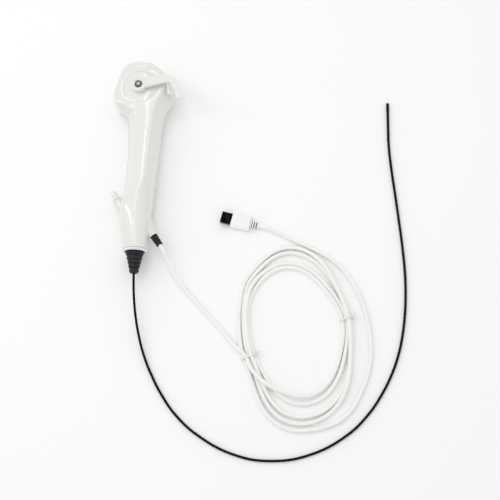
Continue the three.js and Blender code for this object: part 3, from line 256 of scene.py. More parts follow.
class Finish:
    """A material's nodes, wired from the piece's own coordinates."""

    def __init__(self, name, base, roughness, **sockets):
        self.material = bpy.data.materials.new(name)
        self.material.use_nodes = True
        self.nodes = self.material.node_tree.nodes
        self.links = self.material.node_tree.links
        self.shader = self.nodes["Principled BSDF"]
        self.base = base
        self.shader.inputs["Base Color"].default_value = (*base, 1)
        self.shader.inputs["Roughness"].default_value = roughness
        for socket, value in sockets.items():
            self.shader.inputs[socket.replace("_", " ")].default_value = value
        self.place = self.nodes.new("ShaderNodeTexCoord").outputs["Object"]

    def noise(self, scale, detail=3.0, stretch=(1, 1, 1)):
        """Noise over the piece, drawn out along an axis where stretch is uneven."""
        mapping = self.nodes.new("ShaderNodeMapping")
        mapping.inputs["Scale"].default_value = stretch
        self.links.new(self.place, mapping.inputs["Vector"])
        noise = self.nodes.new("ShaderNodeTexNoise")
        noise.inputs["Scale"].default_value = scale
        noise.inputs["Detail"].default_value = detail
        self.links.new(mapping.outputs["Vector"], noise.inputs["Vector"])
        return noise.outputs["Fac"]

    def bands(self, scale, direction, distortion=0.0):
        """Even bands across one direction of the piece."""
        wave = self.nodes.new("ShaderNodeTexWave")
        wave.bands_direction = direction
        wave.inputs["Scale"].default_value = scale
        wave.inputs["Distortion"].default_value = distortion
        self.links.new(self.place, wave.inputs["Vector"])
        return wave.outputs["Fac"]

    def spread(self, value, low, high):
        """The middle of a pattern's range spread from low to high."""
        ranged = self.nodes.new("ShaderNodeMapRange")
        ranged.inputs["From Min"].default_value = 0.3
        ranged.inputs["From Max"].default_value = 0.7
        ranged.inputs["To Min"].default_value = low
        ranged.inputs["To Max"].default_value = high
        self.links.new(value, ranged.inputs["Value"])
        return ranged.outputs["Result"]

    def tint(self, value, other):
        """Mixes the base colour with another one by a pattern."""
        mix = self.nodes.new("ShaderNodeMix")
        mix.data_type = "RGBA"
        mix.inputs["A"].default_value = (*self.base, 1)
        mix.inputs["B"].default_value = (*other, 1)
        self.links.new(self.spread(value, 0, 1), mix.inputs["Factor"])
        self.links.new(mix.outputs["Result"], self.shader.inputs["Base Color"])

    def roughen(self, value, low, high):
        self.links.new(self.spread(value, low, high), self.shader.inputs["Roughness"])

    def bump(self, value, depth, strength=0.5):
        bump = self.nodes.new("ShaderNodeBump")
        bump.inputs["Strength"].default_value = strength
        bump.inputs["Distance"].default_value = depth
        self.links.new(value, bump.inputs["Height"])
        self.links.new(bump.outputs["Normal"], self.shader.inputs["Normal"])


def shade(base, factor):
    """A colour made darker or brighter by a factor."""
    return tuple(min(1.0, channel * factor) for channel in base)


def make_finishes(colours):
    housing = tuple(colours.housing)
    plastic = Finish("glossy_housing", housing, 0.2, Coat_Weight=0.6, Coat_Roughness=0.04)
    plastic.tint(plastic.noise(26), shade(housing, 0.992))
    plastic.roughen(plastic.noise(240, 3), 0.17, 0.23)
    plastic.bump(plastic.noise(1800, 2), 0.01 * MM, 0.02)
    finishes["housing"] = plastic.material

    cable_base = tuple(colours.cable)
    jacket = Finish("cable_jacket", cable_base, 0.45)
    jacket.tint(jacket.noise(60), shade(cable_base, 0.97))
    jacket.roughen(jacket.noise(900, 3), 0.4, 0.52)
    jacket.bump(jacket.noise(1500, 3), 0.03 * MM, 0.08)
    finishes["cable"] = jacket.material

    mould = Finish("plug_overmould", cable_base, 0.5)
    mould.tint(mould.noise(90), shade(cable_base, 0.96))
    mould.roughen(mould.noise(1200, 3), 0.45, 0.58)
    mould.bump(mould.noise(3200, 2), 0.03 * MM, 0.12)
    finishes["overmould"] = mould.material

    rubber_base = tuple(colours.rubber)
    rubber = Finish("satin_rubber", rubber_base, 0.5, Specular_IOR_Level=0.3)
    rubber.tint(rubber.noise(120), shade(rubber_base, 1.35))
    rubber.roughen(rubber.noise(700, 4), 0.42, 0.6)
    rubber.bump(rubber.noise(3200, 3), 0.05 * MM, 0.3)
    finishes["rubber"] = rubber.material

    tube_base = tuple(colours.tube)
    sheath = Finish("tube_sheath", tube_base, 0.4, Specular_IOR_Level=0.1)
    sheath.tint(sheath.noise(300), shade(tube_base, 1.5))
    sheath.roughen(sheath.noise(1500, 3), 0.3, 0.42)
    sheath.bump(sheath.noise(2500, 2), 0.03 * MM, 0.2)
    finishes["tube"] = sheath.material

    sleeve = Finish("bending_sleeve", tube_base, 0.48, Specular_IOR_Level=0.12)
    sleeve.tint(sleeve.noise(500), shade(tube_base, 1.8))
    sleeve.roughen(sleeve.noise(1400, 3), 0.42, 0.56)
    sleeve.bump(sleeve.bands(340, "Y"), 0.06 * MM, 0.5)
    finishes["sleeve"] = sleeve.material

    steel_base = tuple(colours.steel)
    steel = Finish("turned_steel", steel_base, 0.28, Metallic=1.0)
    steel.tint(steel.noise(240), shade(steel_base, 0.86))
    steel.roughen(steel.noise(500, 4, (1, 1, 14)), 0.2, 0.36)
    steel.bump(steel.noise(900, 3, (1, 1, 18)), 0.02 * MM, 0.3)
    finishes["steel"] = steel.material

    dark = Finish("blackened_steel", shade(steel_base, 0.3), 0.3, Metallic=1.0)
    dark.tint(dark.noise(320), shade(steel_base, 0.22))
    dark.roughen(dark.noise(700, 4), 0.22, 0.38)
    dark.bump(dark.noise(1100, 3), 0.015 * MM, 0.2)
    finishes["dark"] = dark.material

    # The plated shell's base colour is near black: a painted dark reflection standing in for what the bright plating
    # mirrors.
    plated_painted_reflection_base = shade(steel_base, 0.006)
    plated = Finish("plated_shell_painted_reflection", plated_painted_reflection_base, 0.2, Metallic=1.0)
    plated.tint(plated.noise(160), shade(plated_painted_reflection_base, 1.8))
    plated.roughen(plated.noise(600, 4, (1, 8, 8)), 0.12, 0.24)
    plated.bump(plated.noise(700, 3, (1, 10, 10)), 0.015 * MM, 0.25)
    finishes["plated"] = plated.material

    brass_base = tuple(colours.brass)
    brass = Finish("turned_brass", brass_base, 0.3, Metallic=1.0)
    brass.tint(brass.noise(300), shade(brass_base, 0.85))
    brass.roughen(brass.noise(800, 3), 0.24, 0.4)
    finishes["brass"] = brass.material

    clear_base = tuple(colours.clear)
    clear = Finish("milky_plastic", clear_base, 0.3, Transmission_Weight=0.08, IOR=1.49)
    clear.tint(clear.noise(200), shade(clear_base, 0.96))
    clear.roughen(clear.noise(900, 3), 0.25, 0.38)
    clear.bump(clear.noise(2600, 2), 0.02 * MM, 0.05)
    finishes["clear"] = clear.material

    # Grey inner plastic; the same finish is also laid into the plug relief's grooves as painted shade.
    moulded = Finish("grey_moulding_and_groove_shade", (0.09, 0.10, 0.11), 0.6)
    moulded.tint(moulded.noise(200), (0.12, 0.13, 0.14))
    moulded.bump(moulded.noise(2400, 3), 0.05 * MM, 0.4)
    finishes["moulding"] = moulded.material

    board = Finish("board_lacquer", (0.02, 0.10, 0.04), 0.35)
    board.tint(board.bands(260, "DIAGONAL", 6.0), (0.03, 0.16, 0.06))
    board.bump(board.bands(260, "DIAGONAL", 6.0), 0.03 * MM, 0.5)
    finishes["board"] = board.material

    chip = Finish("chip_mould", (0.012, 0.012, 0.014), 0.5)
    chip.tint(chip.noise(1500, 4), (0.03, 0.03, 0.033))
    chip.bump(chip.noise(6000, 2), 0.01 * MM, 0.4)
    finishes["chip"] = chip.material

    lens = Finish("coated_lens", (0.01, 0.012, 0.02), 0.04, Coat_Weight=1.0, Coat_Roughness=0.02)
    lens.tint(lens.noise(900), (0.02, 0.02, 0.06))
    finishes["lens"] = lens.material


# ---------------------------------------------------------------------------------------------
# Modelling steps
# ---------------------------------------------------------------------------------------------


def deselect_all():
    if bpy.context.object and bpy.context.object.mode != "OBJECT":
        bpy.ops.object.mode_set(mode="OBJECT")
    bpy.ops.object.select_all(action="DESELECT")


def make_active(obj):
    deselect_all()
    obj.select_set(True)
    bpy.context.view_layer.objects.active = obj


def edit(obj):
    make_active(obj)
    bpy.ops.object.mode_set(mode="EDIT")


def apply_modifiers(obj):
    make_active(obj)
    for modifier in list(obj.modifiers):
        bpy.ops.object.modifier_apply(modifier=modifier.name)


def bevel(obj, width, segments=2, angle=30):
    modifier = obj.modifiers.new("Edges", "BEVEL")
    modifier.width = width
    modifier.segments = segments
    modifier.limit_method = "ANGLE"
    modifier.angle_limit = math.radians(angle)
    apply_modifiers(obj)


def smooth_shade(obj, angle=35):
    make_active(obj)
    bpy.ops.object.shade_smooth_by_angle(angle=math.radians(angle))


def cut(obj, cutter):
    """Takes the cutter's shape out of the object and removes the cutter."""
    modifier = obj.modifiers.new("Cut", "BOOLEAN")
    modifier.operation = "DIFFERENCE"
    modifier.solver = "EXACT"
    modifier.object = cutter
    apply_modifiers(obj)
    bpy.data.objects.remove(cutter)


def aimed(place, aim):
    """The frame at a place, in millimetres, whose +Z points along aim."""
    forward = aim.normalized()
    up = Vector((0, 0, 1))
    side = up.cross(forward).normalized()
    rotation = Matrix((side, forward.cross(side), forward)).transposed()
    return Matrix.Translation(place * MM) @ rotation.to_4x4()


def settle(obj, matrix=None):
    """Puts the place of an object into its mesh."""
    if matrix is not None:
        obj.matrix_world = matrix @ obj.matrix_world
    make_active(obj)
    bpy.ops.object.transform_apply(location=True, rotation=True, scale=True)


def dress(obj, name, finish, slot, body, *nodes):
    """Names a finished piece, gives it its finish and body, and hides the nodes it stands for."""
    obj.name = name
    obj.data.name = name
    obj.data.materials.clear()
    obj.data.materials.append(finishes[finish])
    if nodes:
        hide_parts(*nodes)
    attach(obj, body)
    return obj


def turned(profile, sides, closed=False):
    """A circle drawn out ring by ring along +Z through [radius, height] points in millimetres."""
    deselect_all()
    radius, height = profile[0]
    bpy.ops.mesh.primitive_circle_add(vertices=sides, radius=radius * MM, location=(0, 0, height * MM))
    obj = bpy.context.object
    settle(obj)
    edit(obj)
    bpy.ops.mesh.select_all(action="SELECT")
    rings = profile[1:] + ([profile[0]] if closed else [])
    for next_radius, next_height in rings:
        move = (0, 0, (next_height - height) * MM)
        bpy.ops.mesh.extrude_edges_move(TRANSFORM_OT_translate={"value": move})
        factor = next_radius / radius
        bpy.ops.transform.resize(value=(factor, factor, 1), center_override=(0, 0, next_height * MM))
        radius, height = next_radius, next_height
    bpy.ops.mesh.select_all(action="SELECT")
    if closed:
        bpy.ops.mesh.remove_doubles(threshold=0.001 * MM)
    else:
        bpy.ops.mesh.fill_holes(sides=0)
    bpy.ops.mesh.normals_make_consistent(inside=False)
    bpy.ops.object.mode_set(mode="OBJECT")
    return obj


def block(low, high):
    """A cube primitive stretched between two corners in millimetres."""
    deselect_all()
    low, high = Vector(low), Vector(high)
    bpy.ops.mesh.primitive_cube_add(size=1, location=(low + high) / 2 * MM, scale=(high - low) * MM)
    obj = bpy.context.object
    settle(obj)
    return obj


def refined_copy(node):
    """A merged copy of a CAD node, ready for rounding."""
    source = frame["nodes"][node]
    obj = bpy.data.objects.new(node + "_copy", source.data.copy())
    bpy.context.scene.collection.objects.link(obj)
    edit(obj)
    bpy.ops.mesh.select_all(action="SELECT")
    bpy.ops.mesh.remove_doubles(threshold=0.002 * MM)
    bpy.ops.mesh.customdata_custom_splitnormals_clear()
    bpy.ops.object.mode_set(mode="OBJECT")
    return obj


def settled(obj, edge, place, angle, *dressing):
    """Rounds the edges of a new piece, puts it in its place and dresses it."""
    bevel(obj, edge * MM)
    settle(obj, place)
    smooth_shade(obj, angle)
    return dress(obj, *dressing)


def rounded_copy(node, edge, segments, *dressing):
    """A CAD node with its edges rounded, dressed."""
    obj = refined_copy(node)
    bevel(obj, edge * MM, segments)
    smooth_shade(obj)
    return dress(obj, *dressing, node)


def cord_curve(name, route, diameter, resolution):
    """One smooth open curve with a round section through points in millimetres."""
    data = bpy.data.curves.new(name, "CURVE")
    data.dimensions = "3D"
    data.resolution_u = resolution
    data.render_resolution_u = resolution
    data.bevel_depth = diameter / 2
    data.bevel_resolution = 6
    data.use_fill_caps = True
    spline = data.splines.new("BEZIER")
    spline.bezier_points.add(len(route) - 1)
    for point, place in zip(spline.bezier_points, route):
        point.co = Vector(place) * MM
        point.handle_left_type = "AUTO"
        point.handle_right_type = "AUTO"
    obj = bpy.data.objects.new(name, data)
    bpy.context.scene.collection.objects.link(obj)
    return obj


# ---------------------------------------------------------------------------------------------
# Operators
# ---------------------------------------------------------------------------------------------


class SCOPE_OT_finishes(bpy.types.Operator):
    """Makes the materials and dresses the CAD pieces that stay as they are"""

    bl_idname = "scope.finishes"
    bl_label = "Finishes"

    def execute(self, context):
        make_finishes(context.scene.scope_colours)
        for subpart in frame["record"]["subparts"]:
            node = frame["nodes"][subpart["node"]]
            node.data.materials.clear()
            node.data.materials.append(finishes[SLOT_FINISHES[subpart["material_slot"]]])
        return {"FINISHED"}


class SCOPE_OT_housing(bpy.types.Operator):
    """Rounds the two shells' moulded edges"""

    bl_idname = "scope.housing"
    bl_label = "Housing"

    def execute(self, context):
        for node in ("lever_side_shell", "rest_side_shell"):
            shell = refined_copy(node)
            bevel(shell, context.scene.scope_sizes.edge, 3, 38)
            smooth_shade(shell, 38)
            dress(shell, node.replace("shell", "moulding"), "housing", "white_plastic", "handle", node)
        return {"FINISHED"}


class SCOPE_OT_lever(bpy.types.Operator):
    """Softens the lever into one moulded body and finishes its disc and screw"""

    bl_idname = "scope.lever"
    bl_label = "Lever"

    def execute(self, context):
        lever = refined_copy("thumb_lever")
        fin_start, fin_floor, tilt = Vector((31, 0, 38.4)) * MM, 38 * MM, math.radians(4)
        for vertex in lever.data.vertices:
            vertex.select = vertex.co.x > fin_start.x and vertex.co.z > fin_floor
        edit(lever)
        bpy.ops.transform.rotate(value=tilt, orient_axis="Y", center_override=fin_start)
        bpy.ops.object.mode_set(mode="OBJECT")
        remesh = lever.modifiers.new("Skin", "REMESH")
        remesh.mode = "VOXEL"
        remesh.voxel_size = context.scene.scope_sizes.lever_grain
        soften = lever.modifiers.new("Soften", "SMOOTH")
        soften.factor = 0.5
        soften.iterations = 10
        apply_modifiers(lever)
        smooth_shade(lever, 60)
        dress(lever, "lever_moulding", "housing", "white_plastic", "lever", "thumb_lever")

        disc, widened = refined_copy("lever_disc"), 1.011
        edit(disc)
        bpy.ops.mesh.select_all(action="SELECT")
        bpy.ops.transform.resize(value=(widened, widened, 1), center_override=(0, 0, 0))
        bpy.ops.object.mode_set(mode="OBJECT")
        bevel(disc, 0.12 * MM, 2)
        smooth_shade(disc)
        dress(disc, "lever_disc_moulding", "housing", "white_plastic", "lever", "lever_disc")

        screw = refined_copy("hub_screw")
        bevel(screw, 0.12 * MM, 2)
        smooth_shade(screw)
        dress(screw, "hub_screw_turned", "dark", "steel", "lever", "hub_screw")
        screw.data.materials.append(finishes["steel"])
        socket_radius = 1.72 * MM
        socket_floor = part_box("hub_screw")[1].z - 1.9 * MM
        for face in screw.data.polygons:
            if math.hypot(face.center.x, face.center.y) < socket_radius and face.center.z > socket_floor:
                face.material_index = 1
        return {"FINISHED"}


class SCOPE_OT_shell_screws(bpy.types.Operator):
    """Turns one recessed screw and copies it into the rest side's four holes"""

    bl_idname = "scope.shell_screws"
    bl_label = "Shell screws"

    def execute(self, context):
        first = turned([(1.2, 22.2), (1.2, 3.2), (2.6, 3.1), (2.6, 1.9), (2.2, 1.3), (0.2, 1.2)], 28)
        for turn in range(2):
            slot = block((-1.5, -0.28, 0), (1.5, 0.28, 2.1))
            slot.rotation_euler.z = turn * math.pi / 2
            settle(slot)
            cut(first, slot)
        bevel(first, 0.06 * MM, 1)
        for number in range(1, 5):
            low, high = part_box(f"shell_screw_{number}")
            screw = first.copy()
            screw.data = first.data.copy()
            context.scene.collection.objects.link(screw)
            settle(screw, Matrix.Translation(((low.x + high.x) / 2, (low.y + high.y) / 2, 0)))
            smooth_shade(screw)
            dress(screw, f"shell_screw_{number}_turned", "steel", "steel", "handle", f"shell_screw_{number}")
        bpy.data.objects.remove(first)
        return {"FINISHED"}


class SCOPE_OT_nose(bpy.types.Operator):
    """Turns the barrel's end ring and the stepped boot of the insertion tube"""

    bl_idname = "scope.nose"
    bl_label = "Nose and boot"

    def execute(self, context):
        sides = context.scene.scope_sizes.sides
        place = aimed(NOSE, NOSE_AIM)
        ring = turned([
            (10.0, 0.3), (12.85, 0.3), (12.8, 1.3), (12.5, 2.3), (11.8, 3.0), (11.2, 3.1),
            (10.7, 2.8), (10.4, 1.4), (10.0, 1.2),
        ], sides, closed=True)
        settled(ring, 0.25, place, 50, "nose_ring_moulding", "housing", "white_plastic", "handle", "nose_ring")

        profile = [(1.7, -4), (9.9, -4), (9.9, -1), (BOOT_RADII[0], -1)]
        for step, radius in enumerate(BOOT_RADII):
            start = BOOT_FIRST_STEP + BOOT_STEP * step
            first = 0 if step == 0 else start + 0.25
            profile += [(radius, first), (radius - 0.2, start + 3.0), (radius - 0.7, start + 3.4)]
            if step < len(BOOT_RADII) - 1:
                groove = radius - BOOT_GROOVE
                profile += [(groove, start + 3.5), (groove, start + BOOT_STEP)]
        profile += [(4.3, BOOT_LENGTH - 0.05), (1.5, BOOT_LENGTH)]
        boot = turned(profile, sides, closed=True)
        settled(boot, 0.18, place, 40, "tube_boot_ribbed", "rubber", "black_rubber", "handle", "tube_boot")
        return {"FINISHED"}


class SCOPE_OT_port(bpy.types.Operator):
    """Turns the side port, its gasket and the pull-off cap"""

    bl_idname = "scope.port"
    bl_label = "Side port"

    def execute(self, context):
        place, sides = aimed(PORT_MOUTH, PORT_AIM), 48
        port = turned([
            (1.3, -10), (2.9, -10), (2.9, 1.1), (4.6, 1.1), (4.6, 1.7), (2.4, 1.75), (2.2, 8.7),
            (1.3, 8.7),
        ], sides, closed=True)
        settled(port, 0.1, place, 35, "luer_nozzle", "clear", "clear_plastic", "handle", "luer_port")

        gasket = turned([(3.2, 0.3), (4.6, 0.3), (4.6, 0.8), (3.2, 0.8)], sides, closed=True)
        settled(gasket, 0.12, place, 60, "port_gasket_ring", "clear", "clear_plastic", "handle", "port_gasket")

        cap = turned([
            (2.8, 2.0), (3.4, 2.0), (3.4, 3.0), (3.28, 3.15), (3.28, 3.5), (3.38, 3.65),
            (3.35, 10.1), (3.05, 10.75), (2.4, 11.0), (0.15, 11.0), (0.15, 10.0), (2.8, 10.0),
        ], sides, closed=True)
        edit(cap)
        bpy.ops.mesh.select_all(action="SELECT")
        bpy.ops.mesh.fill_holes(sides=0)
        bpy.ops.object.mode_set(mode="OBJECT")
        settled(cap, 0.08, place, 40, "port_cap_moulding", "clear", "clear_plastic", "cap", "port_cap")
        return {"FINISHED"}


class SCOPE_OT_gland(bpy.types.Operator):
    """Turns the ribbed gland that the USB lead leaves by"""

    bl_idname = "scope.gland"
    bl_label = "Lead gland"

    def execute(self, context):
        profile = [(2.3, -9), (2.9, -9), (2.9, 0.3), (3.9, 0.3)]
        for rib in range(GLAND_RIBS):
            start = 1.6 + GLAND_RIB_PITCH * rib
            radius = 3.9 - 0.12 * rib
            groove = radius - 1.0
            profile += [(radius, start), (groove, start + 0.15), (groove, start + 1.15)]
            profile.append((radius - 0.12, start + 1.3))
        profile += [(3.5, GLAND_LENGTH - 0.2), (3.1, GLAND_LENGTH), (2.3, GLAND_LENGTH)]
        gland, place = turned(profile, 48, closed=True), aimed(GLAND_ROOT, GLAND_AIM)
        settled(gland, 0.12, place, 40, "cable_gland_ribbed", "rubber", "black_rubber", "handle", "cable_gland")
        return {"FINISHED"}


class SCOPE_OT_bending_section(bpy.types.Operator):
    """Makes the rubber sleeve over each link and the camera tip"""

    bl_idname = "scope.bending_section"
    bl_label = "Bending section"

    def capsule(self, low, high, radius):
        """A round-ended sleeve between two places along the bending section, in millimetres."""
        deselect_all()
        bpy.ops.mesh.primitive_uv_sphere_add(segments=24, ring_count=12, radius=radius)
        obj = bpy.context.object
        edit(obj)
        bpy.ops.mesh.select_all(action="DESELECT")
        bpy.ops.object.mode_set(mode="OBJECT")
        for vertex in obj.data.vertices:
            vertex.select = vertex.co.z > 0.01 * MM
        bpy.ops.object.mode_set(mode="EDIT")
        bpy.ops.transform.translate(value=(0, 0, (high - low) * MM))
        bpy.ops.object.mode_set(mode="OBJECT")
        settle(obj, aimed(BEND_BASE, BEND_AIM) @ Matrix.Translation((0, 0, low * MM)))
        smooth_shade(obj, 60)
        return obj

    def execute(self, context):
        radius = context.scene.scope_sizes.sleeve
        collar = self.capsule(-1.0, FIRST_JOINT, radius)
        dress(collar, "bend_collar_sleeve", "sleeve", "black_tube", "handle", "bend_collar")
        for link in range(LINKS):
            low = FIRST_JOINT + LINK_PITCH * link
            sleeve = self.capsule(low, low + LINK_PITCH, radius)
            number = link + 1
            body = f"link_pair_{link // LINKS_PER_JOINT + 1}"
            dress(sleeve, f"bending_sleeve_{number}", "sleeve", "black_tube", body, f"bending_link_{number}")
        for node, finish, slot, edge in (
            ("tip_housing", "tube", "steel", 0.15), ("tip_lens", "lens", "lens_glass", 0.06),
            ("tip_led_left", "clear", "clear_plastic", 0.04), ("tip_led_right", "clear", "clear_plastic", 0.04),
        ):
            rounded_copy(node, edge, 2, node + "_finished", finish, slot, "link_pair_4")
        return {"FINISHED"}


class SCOPE_OT_insertion_tube(bpy.types.Operator):
    """Lays the insertion tube from the boot to the bending section"""

    bl_idname = "scope.insertion_tube"
    bl_label = "Insertion tube"

    def execute(self, context):
        diameter = context.scene.scope_sizes.tube
        tube = cord_curve("insertion_tube_sheath", TUBE_ROUTE, diameter, 10)
        dress(tube, "insertion_tube_sheath", "tube", "black_tube", "handle", "insertion_tube")
        pieces = ["bend_collar_sleeve"] + [f"bending_sleeve_{link + 1}" for link in range(LINKS)]
        pieces += ["tip_housing_finished", "tip_lens_finished", "tip_led_left_finished", "tip_led_right_finished"]
        return {"FINISHED"}


class SCOPE_OT_ties(bpy.types.Operator):
    """Bends a flat twist tie round the strands on each side of the coil"""

    bl_idname = "scope.ties"
    bl_label = "Coil ties"

    def tie(self, name, centre, turn, section, prongs):
        """A flat band drawn round a closed section of (across, up) points, with twisted ends."""
        width = bpy.context.scene.scope_sizes.tie
        deselect_all()
        bpy.ops.mesh.primitive_circle_add(vertices=len(section), radius=10 * MM)
        band = bpy.context.object
        for vertex, (across, up) in zip(band.data.vertices, section):
            vertex.co = Vector((across, 0, up)) * MM - Vector((0, width / 2, 0))
        edit(band)
        bpy.ops.mesh.select_all(action="SELECT")
        bpy.ops.mesh.extrude_edges_move(TRANSFORM_OT_translate={"value": (0, width, 0)})
        bpy.ops.mesh.select_all(action="SELECT")
        bpy.ops.mesh.normals_make_consistent(inside=False)
        bpy.ops.object.mode_set(mode="OBJECT")
        round_off = band.modifiers.new("Round", "SUBSURF")
        round_off.levels = 2
        round_off.render_levels = 2
        wall = band.modifiers.new("Wall", "SOLIDIFY")
        wall.thickness = 0.55 * MM
        wall.offset = 1
        apply_modifiers(band)
        bevel(band, 0.12 * MM, 2, 50)
        parts = [band]
        for route in prongs:
            prong = cord_curve(name + "_prong", route, 1.25 * MM, 8)
            make_active(prong)
            bpy.ops.object.convert(target="MESH")
            parts.append(prong)
        deselect_all()
        for part in parts:
            part.select_set(True)
        bpy.context.view_layer.objects.active = band
        bpy.ops.object.join()
        settle(band, Matrix.Translation(Vector((*centre, 0)) * MM) @ Matrix.Rotation(math.radians(turn), 4, "Z"))
        smooth_shade(band, 40)
        return band

    def execute(self, context):
        left = self.tie("left", (120.5, -284.2), 20.7, [
            (-7.9, 0.3), (-8.1, 2.6), (-7.0, 4.9), (-4.6, 7.4), (-2.7, 8.2), (0, 7.6), (2.7, 8.2), (4.6, 7.4),
            (7.0, 4.9), (8.1, 2.6), (7.9, 0.3), (0, 0.25),
        ], [
            ((4.4, 0, 7.4), (6.0, 0.4, 8.0), (8.4, 0.9, 7.2), (10.6, 0.3, 6.0), (12.6, 1.4, 5.2)),
            ((4.4, 0, 7.2), (6.2, -0.6, 7.2), (8.2, -0.3, 6.2), (10.4, 0.9, 5.0), (12.4, 0.2, 4.2)),
        ])
        dress(left, "twist_tie_left", "clear", "clear_plastic", "handle", "cable_tie_left")
        right = self.tie("right", (218.95, -244.55), 12.6, [
            (-6.7, 0.3), (-6.9, 2.6), (-5.6, 5.2), (-2.4, 8.4), (0, 9.3), (4.4, 8.4), (6.4, 5.4), (6.9, 2.6),
            (6.7, 0.3), (0, 0.25),
        ], [
            ((3.6, 0, 8.6), (5.6, 0.6, 8.4), (7.6, 2.2, 7.2), (8.8, 4.6, 6.4)),
            ((3.8, 0, 8.4), (6.2, -0.4, 7.6), (8.6, 0.4, 6.6), (11.2, 0.2, 5.6)),
        ])
        dress(right, "twist_tie_right", "clear", "clear_plastic", "handle", "cable_tie_right")
        return {"FINISHED"}


class SCOPE_OT_plug(bpy.types.Operator):
    """Makes the USB plug: overmould, relief, plated shell, tongue and contacts"""

    bl_idname = "scope.plug"
    bl_label = "USB plug"

    def execute(self, context):
        place = aimed(PLUG_ROOT, PLUG_AIM)
        body = refined_copy("usb_plug_body")
        settle(body, place.inverted())
        bevel(body, 0.7 * MM, 3, 25)
        settle(body, place)
        smooth_shade(body, 40)
        dress(body, "usb_plug_overmould", "overmould", "white_cable", "handle", "usb_plug_body")

        across, up, wall = 6, 2.25, 0.35
        shell = block((-across, -up, 17), (across, up, 31.6))
        bevel(shell, 0.5 * MM, 3, 60)
        cut(shell, block((wall - across, wall - up, 18), (across - wall, up - wall, 33)))
        bevel(shell, 0.05 * MM, 1, 40)
        settle(shell, place)
        smooth_shade(shell, 40)
        # The can's near-black plated finish is a painted dark reflection on bright plating.
        dress(shell, "usb_plug_can", "plated", "steel", "handle", "usb_plug_shell")

        profile = [(2.35, -0.3)]
        for rib in range(3):
            radius, groove, root = 3.4 - 0.12 * rib, 2.7 - 0.1 * rib, -2.4 * rib
            profile += [(radius, root - 0.3), (radius, root - 1.5), (groove, root - 1.7), (groove, root - 2.5)]
        profile += [(3.0, -7.5), (2.9, -8.4), (2.35, -8.6)]
        relief = turned(profile, 40, closed=True)
        settled(
            relief, 0.1, place, 40,
            "usb_plug_relief_ribbed", "overmould", "white_cable", "handle", "usb_plug_relief",
        )
        # The groove faces get the dark grey moulding finish: painted shade in the relief's grooves.
        relief.data.materials.append(finishes["moulding"])
        groove_low, groove_high, groove_radius = -7.6 * MM, -1.5 * MM, 2.95 * MM
        inverse = place.inverted()
        for face in relief.data.polygons:
            spot = inverse @ face.center
            if groove_low < spot.z < groove_high and math.hypot(spot.x, spot.y) < groove_radius:
                face.material_index = 1

        for node, finish, slot in (
            ("usb_plug_tongue", "cable", "white_cable"), ("usb_plug_contacts", "brass", "brass"),
        ):
            rounded_copy(node, 0.06, 1, node + "_finished", finish, slot, "handle")
        return {"FINISHED"}


class SCOPE_OT_usb_cable(bpy.types.Operator):
    """Lays the USB cable from the gland through its four turns to the plug"""

    bl_idname = "scope.usb_cable"
    bl_label = "USB cable"

    def execute(self, context):
        diameter = context.scene.scope_sizes.cable
        cable = cord_curve("usb_cable_jacket", usb_route(), diameter, 6)
        dress(
            cable, "usb_cable_jacket", "cable", "white_cable", "handle",
            "usb_cable_lead", "usb_cable_coil", "usb_cable_tail",
        )
        return {"FINISHED"}


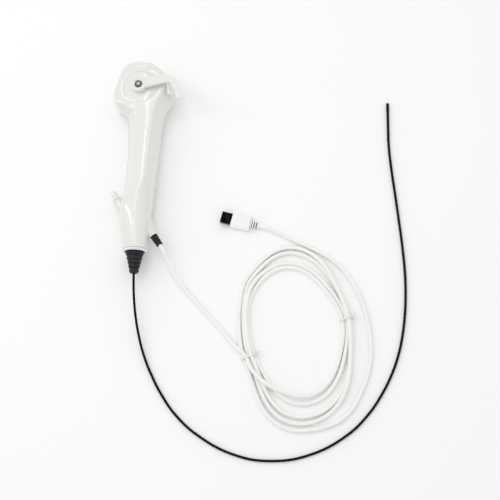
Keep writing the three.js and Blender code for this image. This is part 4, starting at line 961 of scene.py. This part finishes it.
class SCOPE_OT_stage(bpy.types.Operator):
    """Sets up the floor, the lights and the camera"""

    bl_idname = "scope.stage"
    bl_label = "Stage"

    def area_light(self, name, place, aim, size, power):
        data = bpy.data.lights.new(name, "AREA")
        data.shape = "RECTANGLE"
        data.size, data.size_y = size
        data.energy = power
        light = bpy.data.objects.new(name, data)
        bpy.context.scene.collection.objects.link(light)
        light.location = place
        light.rotation_euler = (Vector(aim) - Vector(place)).to_track_quat("-Z", "Y").to_euler()

    def execute(self, context):
        settings = context.scene.scope_stage
        for name in ("Cube", "Light", "Camera"):
            if name in bpy.data.objects:
                bpy.data.objects.remove(bpy.data.objects[name])
        deselect_all()
        bpy.ops.mesh.primitive_plane_add(size=FLOOR_SIZE, location=(0.1, -0.17, -0.0002))
        floor = bpy.context.object
        floor.name = "table_top"
        top = Finish("pale_table", tuple(context.scene.scope_colours.floor), 0.7)
        top.tint(top.noise(3), shade(top.base, 0.99))
        top.bump(top.noise(400, 3), 0.02 * MM, 0.1)
        floor.data.materials.append(top.material)

        for name, place, aim, size, share in LIGHTS:
            self.area_light(name, place, aim, size, settings.key * share)
        world = bpy.data.worlds.new("studio")
        world.use_nodes = True
        world.node_tree.nodes["Background"].inputs["Color"].default_value = (1, 1, 1, 1)
        world.node_tree.nodes["Background"].inputs["Strength"].default_value = settings.fill
        context.scene.world = world
        context.scene.view_settings.view_transform = "Standard"

        data = bpy.data.cameras.new("camera")
        data.lens = settings.lens
        data.sensor_width = 36
        camera = bpy.data.objects.new("camera", data)
        context.scene.collection.objects.link(camera)
        side = CAMERA_TOP.cross(CAMERA_BACK).normalized()
        turn = Matrix((side, CAMERA_BACK.cross(side), CAMERA_BACK)).transposed().to_4x4()
        camera_place = CAMERA_TARGET * MM + CAMERA_BACK * settings.distance
        camera.matrix_world = Matrix.Translation(camera_place) @ turn
        context.scene.camera = camera
        return {"FINISHED"}


class SCOPE_PT_panel(bpy.types.Panel):
    """Lists the pieces and their settings"""

    bl_label = "Flexible scope camera"
    bl_idname = "SCOPE_PT_panel"
    bl_space_type = "VIEW_3D"
    bl_region_type = "UI"
    bl_category = "Scope"

    def draw(self, context):
        for group in (context.scene.scope_sizes, context.scene.scope_colours, context.scene.scope_stage):
            box = self.layout.box()
            for name in group.__annotations__:
                box.prop(group, name)
        for operator in OPERATORS:
            self.layout.operator(operator.bl_idname)


GROUPS = (ScopeSizes, ScopeColours, ScopeStage)
OPERATORS = (
    SCOPE_OT_finishes, SCOPE_OT_stage, SCOPE_OT_bending_section, SCOPE_OT_insertion_tube, SCOPE_OT_ties,
    SCOPE_OT_plug, SCOPE_OT_usb_cable, SCOPE_OT_housing, SCOPE_OT_lever, SCOPE_OT_shell_screws,
    SCOPE_OT_nose, SCOPE_OT_port, SCOPE_OT_gland,
)


def register():
    for item in (*GROUPS, *OPERATORS, SCOPE_PT_panel):
        bpy.utils.register_class(item)
    bpy.types.Scene.scope_sizes = PointerProperty(type=ScopeSizes)
    bpy.types.Scene.scope_colours = PointerProperty(type=ScopeColours)
    bpy.types.Scene.scope_stage = PointerProperty(type=ScopeStage)


def unregister():
    del bpy.types.Scene.scope_sizes
    del bpy.types.Scene.scope_colours
    del bpy.types.Scene.scope_stage
    for item in (SCOPE_PT_panel, *reversed(OPERATORS), *reversed(GROUPS)):
        bpy.utils.unregister_class(item)


def main():
    register()
    for operator in OPERATORS:
        group, name = operator.bl_idname.split(".")
        getattr(getattr(bpy.ops, group), name)()


if __name__ == "__main__":
    main()
